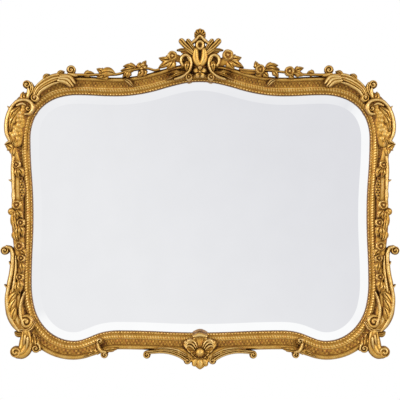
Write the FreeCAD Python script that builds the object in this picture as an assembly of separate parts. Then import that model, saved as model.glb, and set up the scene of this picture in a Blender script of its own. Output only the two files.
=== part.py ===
"""A gilt overmantel wall mirror in the rococo manner: a joined, moulded frame with applied carving.

The frame faces -Y and hangs with +Z up. The origin is the centre of the opening, on the flat back.
Places on the frame are given along and across the moulding: a share of the half run of the opening's
edge, clockwise from the top centre (0) to the bottom centre (1), and a share of the moulding's width,
outward from that edge. Depths are measured forward from the back.
"""
import FreeCAD, Part
import math
import os
from collections import namedtuple

Vector = FreeCAD.Vector

# Opening and moulding, in millimetres
SIGHT_WIDTH = 1026.0
SIGHT_HEIGHT = 783.0
RAIL_WIDTH = 54.0
RAIL_DEPTH = 42.0

# Mirror plate, its setting blocks and the backing board
PLATE_THICKNESS = 5.0
PLATE_COVER = 8.0
BEVEL_WIDTH = 35.0
BEVEL_FALL = 2.5
BLOCK_THICKNESS = 3.0
BLOCK_LENGTH = 42.0
BOARD_THICKNESS = 6.0
BOARD_COVER = 21.0

# Gaps between pieces that fit together
SEAT_CLEARANCE = 0.3
GLUE_LINE = 0.2
SCREW_CLEARANCE = 0.15
CUT_OVERRUN = 2.0

# Flat steel plates across the mitres
CORNER_PLATE_REACH = 46.0
CORNER_PLATE_WIDTH = 18.0
CORNER_PLATE_THICKNESS = 2.0

# Countersunk wood screws
SCREW_SHANK_RADIUS = 1.8
SCREW_HEAD_RADIUS = 3.6
SCREW_HEAD_HEIGHT = 2.2
SCREW_TIP_LENGTH = 3.0
BOARD_SCREW_LENGTH = 16.0
PLATE_SCREW_LENGTH = 14.0
BOARD_SCREWS_PER_SIDE = 8
CORNER_SCREW_SHARES = (-0.75, -0.3, 0.3, 0.75)

# Strap hangers and their rings
STRAP_WIDTH = 14.0
STRAP_LENGTH = 58.0
STRAP_THICKNESS = 1.6
RING_WIRE_RADIUS = 2.0
RING_INNER_WIDTH = 22.0
RING_LEG_LENGTH = 10.0
RING_BORE_CLEARANCE = 0.3
HANGER_RUN_SHARE = 0.40

# Rubber wall bumpers
BUMPER_RADIUS = 9.0
BUMPER_HEIGHT = 5.0
BUMPER_CHAMFER = 1.2
BUMPER_RUN_SHARE = 0.77

# Brace behind the crest
BRACE_WIDTH = 34.0
BRACE_TOP_WIDTH = 22.0
BRACE_THICKNESS = 8.0
BRACE_ACROSS_SHARES = (0.50, 1.95)
BRACE_SCREW_SHARES = (0.60, 0.82)

# Carving: the band that scrolls and leaves are measured by, and the flowers
BAND_WIDTH = 12.0
CARVING_BACK = 16.0
CARVING_RELIEF = 12.0
RIDGE_HEIGHT = 5.0
ROSE_WIDTH = 30.0
BLOSSOM_WIDTH = 39.0
FLOWERET_WIDTH = 20.0
BUD_RADIUS = 11.5
BERRY_RADIUS = 5.5
VOLUTE_EYE_RADIUS = 11.0
PEARL_RADIUS = 13.0
CARTOUCHE_RING_WIDTH = 31.0
CARTOUCHE_RING_BAND = 9.5
ROSE_PETALS = 6

# Carving: shares of the band, of a flower's width and of a rail's width
SECTIONS_PER_SPAN = 3
RIDGE_WIDTH_SHARE = 0.45
PETAL_RADIUS_SHARE = 0.25
HEART_RADIUS_SHARE = 0.24
DOME_TOP_SHARE = 0.55
OVERHANG_SHARE = 0.30

# Carving: widths at the start, middle and end of a limb, as shares of the band
STEM_WIDTH_SHARES = (0.7, 0.6, 0.7)
LEAF_WIDTH_SHARES = (0.6, 1.1, 0.4)
BLADE_WIDTH_SHARES = (0.7, 0.95, 0.4)
THORN_WIDTH_SHARES = (0.7, 0.6, 0.3)
SCROLL_WIDTH_SHARES = (0.85, 0.95, 0.65)
RIM_WIDTH_SHARES = (0.85, 1.2, 0.85)
LOBE_WIDTH_SHARES = (1.2, 1.75, 1.1)

# Shell on the bottom rail: its hub, and the parts of the way out that a rib is drawn through
SHELL_HUB_SHARE = (1.0, 1.02)
RIB_PART_SHARES = (0, 0.45, 0.7, 1)
RIB_WIDTH_SHARES = (0.7, 1.3, 1.3)

# Edge of the opening: across and up as shares of half the opening, then the heading in degrees
SIGHT_NODE_SHARES = (
    (0.0, 1.0, 0),
    (0.222, 0.946, -17),
    (0.491, 0.890, 0),
    (0.725, 0.899, 0),
    (0.918, 0.818, -40),
    (1.0, 0.563, -90),
    (0.982, -0.027, -90),
    (0.993, -0.556, -90),
    (0.918, -0.890, -130),
    (0.743, -1.0, 180),
    (0.620, -0.954, 157),
    (0.480, -0.920, 180),
    (0.0, -0.936, 180),
)
TOP_MITRE_NODE = 4
BOTTOM_MITRE_NODE = 8
ARCS_PER_NODE = 2

# Face of the moulding: an optional point on an arc, then the point reached, as shares of width and depth
MOULDING_SHARES = (
    (None, (0.00, 0.41)),
    ((0.065, 0.52), (0.13, 0.44)),
    (None, (0.17, 0.44)),
    ((0.25, 0.64), (0.40, 0.72)),
    (None, (0.41, 0.63)),
    (None, (0.44, 0.63)),
    ((0.58, 0.65), (0.70, 0.76)),
    (None, (0.74, 0.76)),
    (None, (0.74, 0.80)),
    ((0.87, 1.00), (1.00, 0.79)),
    (None, (1.00, 0.55)),
)
RAIL_BACK_SHARE = 0.93

Arc = namedtuple("Arc", "start heading turn length")


# Edge of the opening

def arc_between(start, end, heading, tail):
    """The arc from start to end, given its heading at one of the two ends."""
    across = end[0] - start[0]
    up = end[1] - start[1]
    along = math.atan2(up, across)
    half_turn = along - heading if tail is None else tail - along
    half_turn = math.remainder(half_turn, 2 * math.pi)
    chord = math.hypot(across, up)
    length = chord if half_turn == 0 else chord * half_turn / math.sin(half_turn)
    return Arc(start, along - half_turn, 2 * half_turn, length)


def biarc(start, start_heading, end, end_heading):
    """Two arcs with a common tangent that join two points at two headings."""
    first = (math.cos(start_heading), math.sin(start_heading))
    last = (math.cos(end_heading), math.sin(end_heading))
    way = (end[0] - start[0], end[1] - start[1])
    both = (first[0] + last[0], first[1] + last[1])
    pull = way[0] * both[0] + way[1] * both[1]
    square = way[0] ** 2 + way[1] ** 2
    spread = 2 - 2 * (first[0] * last[0] + first[1] * last[1])
    if spread < 1e-9:
        reach = square / (2 * pull)
    else:
        reach = (math.sqrt(pull ** 2 + spread * square) - pull) / spread
    meet = tuple((start[i] + end[i] + reach * (first[i] - last[i])) / 2 for i in range(2))
    return [arc_between(start, meet, start_heading, None), arc_between(meet, end, None, end_heading)]


def sight_edge():
    """The right half of the opening's edge, clockwise from the top centre, as tangent arcs."""
    arcs = []
    places = [(x * SIGHT_WIDTH / 2, z * SIGHT_HEIGHT / 2, math.radians(a)) for x, z, a in SIGHT_NODE_SHARES]
    for (x0, z0, a0), (x1, z1, a1) in zip(places, places[1:]):
        arcs += biarc((x0, z0), a0, (x1, z1), a1)
    return arcs


EDGE = sight_edge()
HALF_RUN = sum(arc.length for arc in EDGE)


def on_arc(arc, distance):
    """Point and heading a distance along an arc."""
    heading = arc.heading + arc.turn * distance / arc.length
    if arc.turn == 0:
        step = (distance * math.cos(heading), distance * math.sin(heading))
    else:
        radius = arc.length / arc.turn
        step = (radius * (math.sin(heading) - math.sin(arc.heading)),
                radius * (math.cos(arc.heading) - math.cos(heading)))
    return (arc.start[0] + step[0], arc.start[1] + step[1]), heading


def rail_place(run_share, across_share):
    """(x, z) of a place on the frame. Shares below 0 or above 1 lie on the left half."""
    if run_share < 0 or run_share > 1:
        x, z = rail_place(-run_share if run_share < 0 else 2 - run_share, across_share)
        return -x, z
    distance = run_share * HALF_RUN
    for arc in EDGE:
        if distance <= arc.length or arc is EDGE[-1]:
            break
        distance -= arc.length
    (x, z), heading = on_arc(arc, distance)
    out = across_share * RAIL_WIDTH
    return x - out * math.sin(heading), z + out * math.cos(heading)


def run_span(first_share, last_share):
    """The arcs of the edge between two shares of the half run."""
    begin = first_share * HALF_RUN
    finish = last_share * HALF_RUN
    passed = 0
    span = []
    for arc in EDGE:
        low = max(begin - passed, 0)
        high = min(finish - passed, arc.length)
        if high - low > GLUE_LINE:
            start, heading = on_arc(arc, low)
            span.append(Arc(start, heading, arc.turn * (high - low) / arc.length, high - low))
        passed += arc.length
    return span


def node_share(node):
    """Share of the half run at a node of the edge."""
    return sum(arc.length for arc in EDGE[:node * ARCS_PER_NODE]) / HALF_RUN


# Solids that follow the edge

def spot(x, depth, z):
    """A point by its place on the front view and its depth forward of the back."""
    return Vector(x, -depth, z)


def section_face(steps, arc):
    """A face square to the start of an arc. Each step is an optional arc point, then (outward, depth)."""
    (x, z), heading = on_arc(arc, 0)
    out = (-math.sin(heading), math.cos(heading))

    def stand(point):
        return spot(x + point[0] * out[0], point[1], z + point[0] * out[1])

    edges = []
    here = steps[-1][1]
    for middle, there in steps:
        if middle is None:
            edges.append(Part.LineSegment(stand(here), stand(there)).toShape())
        else:
            edges.append(Part.Arc(stand(here), stand(middle), stand(there)).toShape())
        here = there
    return Part.Face(Part.Wire(edges))


def swept(steps, arcs):
    """One solid: a section carried along a run of arcs."""
    lengths = []
    for arc in arcs:
        face = section_face(steps, arc)
        if arc.turn == 0:
            lengths.append(face.extrude(spot(arc.length * math.cos(arc.heading), 0,
                                             arc.length * math.sin(arc.heading))))
            continue
        radius = arc.length / arc.turn
        centre = spot(arc.start[0] - radius * math.sin(arc.heading), 0,
                      arc.start[1] + radius * math.cos(arc.heading))
        axis = Vector(0, math.copysign(1, -arc.turn), 0)
        lengths.append(face.revolve(centre, axis, math.degrees(abs(arc.turn))))
    return joined(lengths)


def joined(solids):
    """One shape from solids that meet or overlap."""
    if len(solids) == 1:
        return solids[0]
    return solids[0].multiFuse(solids[1:]).removeSplitter()


def mirrored(shape):
    """The same shape on the other side of the middle."""
    return shape.mirror(Vector(0, 0, 0), Vector(1, 0, 0))


def outline_wire(outward, depth):
    """The whole edge of the opening, moved outward, as a closed wire at a depth."""
    across = outward / RAIL_WIDTH
    right = []
    passed = 0
    for arc in EDGE:
        shares = [(passed + arc.length * part) / HALF_RUN for part in (0, 0.5, 1)]
        right.append([rail_place(min(share, 1), across) for share in shares])
        passed += arc.length
    left = [[(-x, z) for x, z in reversed(points)] for points in reversed(right)]
    edges = []
    for points in right + left:
        ends = [spot(x, depth, z) for x, z in points]
        edges.append(Part.Arc(*ends).toShape())
    return Part.Wire(edges)


# Frame members

def lip_depth():
    """Depth of the rebate's lip, just clear of the bevel at the edge of the opening."""
    seen_bevel = BEVEL_WIDTH - PLATE_COVER
    return BOARD_THICKNESS + PLATE_THICKNESS - BEVEL_FALL * seen_bevel / BEVEL_WIDTH + SEAT_CLEARANCE


def moulding_steps():
    """Section of the rails: the moulded face, the sloping outer side, the back and the stepped rebate."""
    steps = []
    for middle, reached in MOULDING_SHARES:
        point = (reached[0] * RAIL_WIDTH, reached[1] * RAIL_DEPTH)
        steps.append((middle and (middle[0] * RAIL_WIDTH, middle[1] * RAIL_DEPTH), point))
    board_seat = BOARD_COVER + SEAT_CLEARANCE
    plate_seat = PLATE_COVER + BLOCK_THICKNESS + 2 * GLUE_LINE
    steps.append((None, (RAIL_BACK_SHARE * RAIL_WIDTH, 0)))
    steps.append((None, (board_seat, 0)))
    steps.append((None, (board_seat, BOARD_THICKNESS)))
    steps.append((None, (plate_seat, BOARD_THICKNESS)))
    steps.append((None, (plate_seat, lip_depth())))
    steps.append((None, (0, lip_depth())))
    return steps


def member(first_share, last_share):
    """A length of the moulding on the right half."""
    return swept(moulding_steps(), run_span(first_share, last_share))


def across_middle(half):
    """A member that crosses the middle, from its right half."""
    return joined([half, mirrored(half)])


# Plate and board

def mirror_plate():
    """Silvered plate: a flat slab with a wide bevel worked round its face."""
    edge_depth = BOARD_THICKNESS + PLATE_THICKNESS - BEVEL_FALL
    back = Part.Face(outline_wire(PLATE_COVER, BOARD_THICKNESS))
    slab = back.extrude(spot(0, PLATE_THICKNESS - BEVEL_FALL, 0))
    rim = outline_wire(PLATE_COVER, edge_depth)
    field = outline_wire(PLATE_COVER - BEVEL_WIDTH, edge_depth + BEVEL_FALL)
    return slab.fuse(Part.makeLoft([rim, field], True, True)).removeSplitter()


def setting_block():
    """Rubber block under the right lower lobe of the plate."""
    low = PLATE_COVER + GLUE_LINE
    high = low + BLOCK_THICKNESS
    front = BOARD_THICKNESS + PLATE_THICKNESS - BEVEL_FALL
    corners = ((low, BOARD_THICKNESS), (low, front), (high, front), (high, BOARD_THICKNESS))
    middle = node_share(BOTTOM_MITRE_NODE + 1)
    half = BLOCK_LENGTH / 2 / HALF_RUN
    return swept([(None, corner) for corner in corners], run_span(middle - half, middle + half))


def backing_board():
    """Board that closes the back, flush with the rails."""
    return Part.Face(outline_wire(BOARD_COVER, 0)).extrude(spot(0, BOARD_THICKNESS, 0))


# Screws

def screw(x, z, length, proud=0, clearance=0):
    """Countersunk screw driven forward from the back, or its hole if a clearance is given."""
    shank = SCREW_SHANK_RADIUS + clearance
    head = SCREW_HEAD_RADIUS + clearance
    forward = Vector(0, -1, 0)
    taper = length - SCREW_TIP_LENGTH
    cone = Part.makeCone(head, shank, SCREW_HEAD_HEIGHT, spot(x, -proud, z), forward)
    neck = spot(x, SCREW_HEAD_HEIGHT - proud, z)
    rod = Part.makeCylinder(shank, taper - SCREW_HEAD_HEIGHT, neck, forward)
    tip = Part.makeCone(shank, clearance, SCREW_TIP_LENGTH + clearance, spot(x, taper - proud, z), forward)
    return joined([cone, rod, tip])


def board_screw_places():
    """Places of the right half's screws round the backing board."""
    across = (PLATE_COVER + BLOCK_THICKNESS + BOARD_COVER) / 2 / RAIL_WIDTH
    return [rail_place((i + 0.5) / BOARD_SCREWS_PER_SIDE, across) for i in range(BOARD_SCREWS_PER_SIDE)]


def back_middle_share():
    """Middle of the flat back of a rail, as a share of its width."""
    return (BOARD_COVER / RAIL_WIDTH + RAIL_BACK_SHARE) / 2


def corner_screw_places(node):
    """Two places on each side of a mitre of the right half."""
    reach = CORNER_PLATE_REACH / HALF_RUN
    runs = [node_share(node) + reach * share for share in CORNER_SCREW_SHARES]
    return [rail_place(run, back_middle_share()) for run in runs]


# Corner plates

def corner_plate(node, clearance=0):
    """Flat plate across a mitre of the right half, or its housing if a clearance is given."""
    middle = back_middle_share() * RAIL_WIDTH
    low = middle - CORNER_PLATE_WIDTH / 2 - clearance
    high = middle + CORNER_PLATE_WIDTH / 2 + clearance
    back = -CUT_OVERRUN if clearance else 0
    corners = ((low, back), (low, CORNER_PLATE_THICKNESS), (high, CORNER_PLATE_THICKNESS), (high, back))
    reach = (CORNER_PLATE_REACH + clearance) / HALF_RUN
    share = node_share(node)
    return swept([(None, corner) for corner in corners], run_span(share - reach, share + reach))


# Hangers

def hanger_pivot():
    """Centre of the right hanger's barrel."""
    x, z = rail_place(HANGER_RUN_SHARE, back_middle_share())
    return x, -barrel_radius(), z


def barrel_radius():
    """Outer radius of the strap where it is rolled round the ring's wire."""
    return RING_WIRE_RADIUS + RING_BORE_CLEARANCE + STRAP_THICKNESS


def hanger_strap():
    """Right strap: a flat tail below a rolled barrel, with two countersunk holes."""
    x, depth, z = hanger_pivot()
    side = x - STRAP_WIDTH / 2
    tail = Part.makeBox(STRAP_WIDTH, STRAP_THICKNESS, STRAP_LENGTH, Vector(side, 0, z - STRAP_LENGTH))
    start = spot(side, depth, z)
    barrel = Part.makeCylinder(barrel_radius(), STRAP_WIDTH, start, Vector(1, 0, 0))
    bore = Part.makeCylinder(RING_WIRE_RADIUS + RING_BORE_CLEARANCE, STRAP_WIDTH, start, Vector(1, 0, 0))
    strap = joined([tail, barrel]).cut(bore)
    for place in hanger_screw_places():
        strap = strap.cut(screw(*place, PLATE_SCREW_LENGTH, STRAP_THICKNESS, SCREW_CLEARANCE))
    return strap


def hanger_screw_places():
    """Places of the right strap's two screws."""
    x, _, z = hanger_pivot()
    inside_ring = z - (RING_LEG_LENGTH + barrel_radius()) / 2 - SCREW_HEAD_RADIUS
    return [(x, inside_ring), (x, z - STRAP_LENGTH + 2 * SCREW_HEAD_RADIUS)]


def hanger_ring():
    """Right D-ring, hanging down behind its strap: a bar, two legs and a half round."""
    x, depth, z = hanger_pivot()
    half = RING_INNER_WIDTH / 2 + RING_WIRE_RADIUS
    left = spot(x - half, depth, z)
    right = spot(x + half, depth, z)
    down = Vector(0, 0, -1)
    bow_centre = spot(x, depth, z - RING_LEG_LENGTH)
    bow = Part.makeTorus(half, RING_WIRE_RADIUS, bow_centre, Vector(0, 1, 0))
    reach = half + RING_WIRE_RADIUS + CUT_OVERRUN
    above = Part.makeBox(2 * reach, 2 * reach, reach, bow_centre - Vector(reach, reach, 0))
    pieces = [
        Part.makeCylinder(RING_WIRE_RADIUS, 2 * half, left, Vector(1, 0, 0)),
        Part.makeCylinder(RING_WIRE_RADIUS, RING_LEG_LENGTH, left, down),
        Part.makeCylinder(RING_WIRE_RADIUS, RING_LEG_LENGTH, right, down),
        Part.makeSphere(RING_WIRE_RADIUS, left),
        Part.makeSphere(RING_WIRE_RADIUS, right),
        bow.cut(above),
    ]
    return joined(pieces)


def wall_bumper():
    """Right rubber pad on the back of the bottom rail."""
    x, z = rail_place(BUMPER_RUN_SHARE, back_middle_share())
    back = Vector(0, 1, 0)
    straight = BUMPER_HEIGHT - BUMPER_CHAMFER
    drum = Part.makeCylinder(BUMPER_RADIUS, straight, spot(x, 0, z), back)
    face = BUMPER_RADIUS - BUMPER_CHAMFER
    crown = Part.makeCone(BUMPER_RADIUS, face, BUMPER_CHAMFER, spot(x, -straight, z), back)
    return joined([drum, crown])


# Crest brace

def crest_brace(clearance=0):
    """Tapered tongue with a round head behind the crest, or its housing if a clearance is given."""
    foot = rail_place(0, BRACE_ACROSS_SHARES[0])[1] - clearance
    neck = rail_place(0, BRACE_ACROSS_SHARES[1])[1]
    wide = BRACE_WIDTH / 2 + clearance
    slim = BRACE_TOP_WIDTH / 2 + clearance
    back = -CUT_OVERRUN if clearance else 0
    sides = [
        Part.LineSegment(spot(-wide, back, foot), spot(wide, back, foot)).toShape(),
        Part.LineSegment(spot(wide, back, foot), spot(slim, back, neck)).toShape(),
        Part.Arc(spot(slim, back, neck), spot(0, back, neck + slim), spot(-slim, back, neck)).toShape(),
        Part.LineSegment(spot(-slim, back, neck), spot(-wide, back, foot)).toShape(),
    ]
    return Part.Face(Part.Wire(sides)).extrude(spot(0, BRACE_THICKNESS - back, 0))


def brace_screw_places():
    """Places of the brace's two screws."""
    return [rail_place(0, share) for share in BRACE_SCREW_SHARES]


# Carving

def carving_front():
    """Depth of the carving's ground, from which its ridges stand up."""
    return RAIL_DEPTH + GLUE_LINE + CARVING_RELIEF


def ridge_root():
    """Depth inside the ground at which the ridges start."""
    return carving_front() - CARVING_RELIEF / 2


def blend(values, part):
    """Value a part of the way along three values, on a smooth curve through them."""
    start, middle, end = values
    return (start * (1 - part) * (1 - 2 * part) + 4 * middle * part * (1 - part)
            + end * part * (2 * part - 1))


def strip(spine_shares, width_shares, back, front):
    """A round-ended band of varying width along a smooth spine, from one depth to another."""
    spine = Part.BSplineCurve()
    spine.interpolate([spot(x, back, z) for x, z in (rail_place(*share) for share in spine_shares)])
    count = SECTIONS_PER_SPAN * (len(spine_shares) - 1)
    middles, sides, alongs = [], [], []
    for step in range(count + 1):
        part = step / count
        at = spine.FirstParameter + part * (spine.LastParameter - spine.FirstParameter)
        along = spine.tangent(at)[0]
        middles.append(spine.value(at))
        alongs.append(along)
        sides.append(Vector(-along.z, 0, along.x) * (blend(width_shares, part) * BAND_WIDTH / 2))
    left = Part.BSplineCurve()
    left.interpolate([middle + side for middle, side in zip(middles, sides)])
    right = Part.BSplineCurve()
    right.interpolate([middle - side for middle, side in zip(middles, sides)])

    def cap(place, way):
        """Half round that closes one end."""
        nose = middles[place] + alongs[place] * (way * sides[place].Length)
        return Part.Arc(middles[place] + sides[place], nose, middles[place] - sides[place]).toShape()

    outline = Part.Wire(Part.__sortEdges__([left.toShape(), cap(-1, 1), right.toShape(), cap(0, -1)]))
    return Part.Face(outline).extrude(spot(0, front - back, 0))


def limb(spine_shares, width_shares, ridge_from=0):
    """A carved scroll, stem or leaf: a band with a ridge along its middle.

    The widths at its start, middle and end are shares of the carving's band.
    """
    ridge_width_shares = [RIDGE_WIDTH_SHARE * share for share in width_shares]
    ridge_spine_shares = spine_shares[ridge_from:]
    return [
        strip(spine_shares, width_shares, CARVING_BACK, carving_front()),
        strip(ridge_spine_shares, ridge_width_shares, ridge_root(), carving_front() + RIDGE_HEIGHT),
    ]


def limbs(spines, width_shares):
    """Several limbs of one kind."""
    return [solid for spine in spines for solid in limb(spine, width_shares)]


def drum(x, z, radius, back, front):
    """A round block between two depths."""
    return Part.makeCylinder(radius, front - back, spot(x, back, z), Vector(0, -1, 0))


def ball(place_share, radius):
    """A berry, eye or bud: a round block with a sloping crown."""
    x, z = rail_place(*place_share)
    ground = spot(x, carving_front(), z)
    crown = Part.makeCone(radius, DOME_TOP_SHARE * radius, RIDGE_HEIGHT, ground, Vector(0, -1, 0))
    return [drum(x, z, radius, CARVING_BACK, carving_front()), crown]


def rosette(place_share, width, petals=5):
    """A flower: round petals about a raised heart."""
    x, z = rail_place(*place_share)
    petal = width * PETAL_RADIUS_SHARE
    ring = width / 2 - petal
    solids = [drum(x, z, width * HEART_RADIUS_SHARE, CARVING_BACK, carving_front() + RIDGE_HEIGHT)]
    for number in range(petals):
        angle = 2 * math.pi * number / petals + math.pi / 2
        petal_x = x + ring * math.cos(angle)
        petal_z = z + ring * math.sin(angle)
        solids.append(drum(petal_x, petal_z, petal, CARVING_BACK, carving_front()))
    return solids


def both_sides(solids):
    """Solids and their mirror images."""
    return solids + [mirrored(solid) for solid in solids]


def seat_block(first_share, last_share):
    """The room that a rail and the air in front of its hollows take up, on the right half."""
    low = -OVERHANG_SHARE * RAIL_WIDTH
    high = RAIL_WIDTH + GLUE_LINE
    face = RAIL_DEPTH + GLUE_LINE
    corners = ((low, 0), (low, face), (high, face), (high, 0))
    return swept([(None, corner) for corner in corners], run_span(first_share, last_share))


def seated(solids, carriers):
    """One carved piece, cut to the pieces that it lies on. Slivers beyond them are dropped."""
    piece = joined(solids)
    for carrier in carriers:
        if carrier.BoundBox.intersect(piece.BoundBox):
            piece = piece.cut(carrier)
    return max(piece.Solids, key=lambda body: body.Volume)


def crest_cartouche():
    """Two upright lobes under an oval ring, on a slim ground."""
    lobe_shares = ((0.0088, 1.79), (0.0106, 1.46), (0.0089, 1.12), (0.0040, 0.90))
    boss_shares = ((0.0, 1.15), (0.0, 1.02), (0.0, 0.88))
    neck_shares = ((0.0, 1.80), (0.0, 1.55), (0.0, 1.05))
    ring_share = (0.0, 1.98)
    width_shares = (0.95, 1.3, 0.9)
    x, z = rail_place(*ring_share)
    outer = CARTOUCHE_RING_WIDTH / 2
    eye = drum(x, z, outer - CARTOUCHE_RING_BAND, ridge_root(), carving_front() + RIDGE_HEIGHT)
    ring = drum(x, z, outer, CARVING_BACK, carving_front()).cut(eye)
    neck = strip(neck_shares, width_shares, CARVING_BACK, ridge_root())
    return both_sides(limb(lobe_shares, width_shares)) + limb(boss_shares, width_shares) + [ring, neck]


def crest_finial():
    """A small shell of five ribs on two spread arms."""
    hub_share = (0.0, 2.42)
    tip_shares = ((0.0048, 2.76), (0.0062, 2.58))
    crown_shares = (hub_share, (0.0, 2.64), (0.0, 2.85))
    stalk_shares = ((0.0, 2.45), (0.0, 2.30), (0.0, 2.12))
    arm_shares = ((0.0004, 2.50), (0.0045, 2.32), (0.0085, 2.18))
    width_shares = (0.6, 0.75, 0.7)
    spines = [(hub_share, (tip[0] / 2, (hub_share[1] + tip[1]) / 2), tip) for tip in tip_shares]
    sides = both_sides(limbs(spines + [arm_shares], width_shares))
    return sides + limbs((crown_shares, stalk_shares), width_shares)


def crest_scroll():
    """A C-scroll whose tail runs down on to the rail, with a leaf and a sprig."""
    band_shares = (
        (0.0258, 0.97), (0.0289, 1.21), (0.0259, 1.47), (0.0192, 1.57), (0.0141, 1.39),
        (0.0131, 1.08), (0.0165, 0.75), (0.0231, 0.50), (0.0322, 0.36), (0.0451, 0.31),
    )
    leaf_shares = (
        ((0.0172, 1.03), (0.0194, 0.82), (0.0194, 0.60)),
        ((0.0270, 0.42), (0.0437, 0.50), (0.0619, 0.28)),
    )
    return limb(band_shares, SCROLL_WIDTH_SHARES) + limbs(leaf_shares, LEAF_WIDTH_SHARES)


def crest_spray():
    """Four leaf blades that spread beside the cartouche."""
    blade_shares = (
        ((0.0150, 1.72), (0.0185, 2.05), (0.0232, 2.38)),
        ((0.0140, 1.76), (0.0138, 2.12), (0.0163, 2.43)),
        ((0.0150, 1.72), (0.0195, 1.84), (0.0240, 1.98)),
        ((0.0155, 1.70), (0.0225, 1.77), (0.0301, 1.90)),
    )
    return limbs(blade_shares, BLADE_WIDTH_SHARES)


def crest_rose_left():
    """Rose and leaves on the left of the crest, drawn on the right."""
    rose_share = (0.0386, 1.57)
    leaf_shares = (
        ((0.0432, 1.49), (0.0532, 1.52), (0.0631, 1.70)),
        ((0.0420, 1.41), (0.0553, 1.25), (0.0667, 1.13)),
        ((0.0408, 1.40), (0.0460, 1.12), (0.0546, 0.86)),
        ((0.0350, 1.46), (0.0306, 1.22), (0.0272, 0.90)),
    )
    return rosette(rose_share, ROSE_WIDTH) + limbs(leaf_shares, LEAF_WIDTH_SHARES)


def crest_rose_right():
    """Rose and leaves on the right of the crest."""
    rose_share = (0.0406, 1.64)
    leaf_shares = (
        ((0.0450, 1.57), (0.0543, 1.59), (0.0631, 1.70)),
        ((0.0440, 1.49), (0.0580, 1.34), (0.0698, 1.16)),
        ((0.0425, 1.42), (0.0460, 1.12), (0.0530, 0.86)),
        ((0.0380, 1.46), (0.0323, 1.18), (0.0290, 0.88)),
    )
    return rosette(rose_share, ROSE_WIDTH, ROSE_PETALS) + limbs(leaf_shares, LEAF_WIDTH_SHARES)


def crest_flower():
    """Open flower at the foot of the cartouche."""
    flower_share = (0.0, 0.54)
    return rosette(flower_share, BLOSSOM_WIDTH)


def crest_bud():
    """Small flower beside the open one."""
    bud_share = (0.0191, 0.26)
    return rosette(bud_share, FLOWERET_WIDTH)


def knob_curl():
    """Curl that ends a garland."""
    curl_shares = ((0.240, 1.05), (0.2395, 1.32), (0.234, 1.50), (0.2285, 1.42), (0.2290, 1.27))
    eye_share = (0.2325, 1.32)
    return limb(curl_shares, SCROLL_WIDTH_SHARES) + ball(eye_share, BERRY_RADIUS)


def garland_left():
    """Trailing stem with leaves, a bud, a lily and berries: the left garland, drawn on the right."""
    stem_shares = (
        (0.242, 1.02), (0.228, 1.13), (0.213, 1.13), (0.193, 1.15), (0.166, 1.22),
        (0.137, 1.26), (0.109, 1.23), (0.086, 1.26), (0.071, 1.17),
    )
    leaf_shares = (
        ((0.216, 0.98), (0.206, 1.19), (0.198, 1.22)),
        ((0.176, 1.20), (0.184, 1.33), (0.192, 1.41)),
        ((0.191, 1.14), (0.184, 1.02), (0.177, 0.94)),
        ((0.143, 1.27), (0.129, 1.56), (0.108, 1.50)),
        ((0.146, 1.25), (0.130, 1.41), (0.113, 1.38)),
        ((0.142, 1.26), (0.138, 1.06), (0.130, 0.90)),
        ((0.111, 1.22), (0.107, 0.98), (0.100, 0.88)),
        ((0.105, 1.24), (0.097, 1.52), (0.084, 1.68)),
    )
    bud_share = (0.166, 1.32)
    berry_shares = ((0.099, 1.36), (0.092, 1.42), (0.1025, 1.44))
    fruit = ball(bud_share, BUD_RADIUS)
    for share in berry_shares:
        fruit += ball(share, BERRY_RADIUS)
    return limb(stem_shares, STEM_WIDTH_SHARES) + limbs(leaf_shares, LEAF_WIDTH_SHARES) + fruit + knob_curl()


def garland_right():
    """Trailing stem with leaves and two roses: the right garland."""
    stem_shares = (
        (0.242, 1.03), (0.228, 1.15), (0.205, 1.11), (0.185, 1.19), (0.166, 1.22),
        (0.135, 1.26), (0.107, 1.22), (0.082, 1.18), (0.060, 1.06),
    )
    leaf_shares = (
        ((0.098, 1.30), (0.092, 1.50), (0.086, 1.64)),
        ((0.107, 1.28), (0.118, 1.55), (0.143, 1.64)),
        ((0.113, 1.26), (0.128, 1.37), (0.148, 1.38)),
        ((0.124, 1.24), (0.133, 1.08), (0.140, 0.94)),
        ((0.170, 1.36), (0.182, 1.48), (0.193, 1.48)),
        ((0.174, 1.22), (0.185, 1.08), (0.194, 0.98)),
        ((0.198, 1.10), (0.205, 1.25), (0.211, 1.26)),
    )
    rose_shares = ((0.102, 1.33), (0.166, 1.39))
    roses = []
    for share in rose_shares:
        roses += rosette(share, ROSE_WIDTH, ROSE_PETALS)
    return limb(stem_shares, STEM_WIDTH_SHARES) + limbs(leaf_shares, LEAF_WIDTH_SHARES) + roses + knob_curl()


def rail_leaf():
    """Small leaf that laps over the face of the top rail."""
    leaf_shares = ((0.138, 0.88), (0.131, 0.71), (0.124, 0.47))
    return limb(leaf_shares, LEAF_WIDTH_SHARES)


def top_acanthus():
    """Acanthus over the upper corner, from a volute eye to a leaf tip on the top rail."""
    band_shares = (
        (0.290, 0.80), (0.282, 0.98), (0.272, 1.10), (0.260, 1.11),
        (0.249, 1.05), (0.240, 0.88), (0.231, 0.56),
    )
    inner_shares = ((0.286, 0.72), (0.270, 0.88), (0.258, 0.84), (0.248, 0.69))
    bump_shares = (
        ((0.269, 1.10), (0.263, 1.28), (0.257, 1.18)),
        ((0.255, 1.04), (0.248, 1.25), (0.241, 1.14)),
    )
    eye_share = (0.2915, 0.62)
    band = limb(band_shares, RIM_WIDTH_SHARES) + limb(inner_shares, SCROLL_WIDTH_SHARES)
    return band + ball(eye_share, VOLUTE_EYE_RADIUS) + limbs(bump_shares, BLADE_WIDTH_SHARES)


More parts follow.
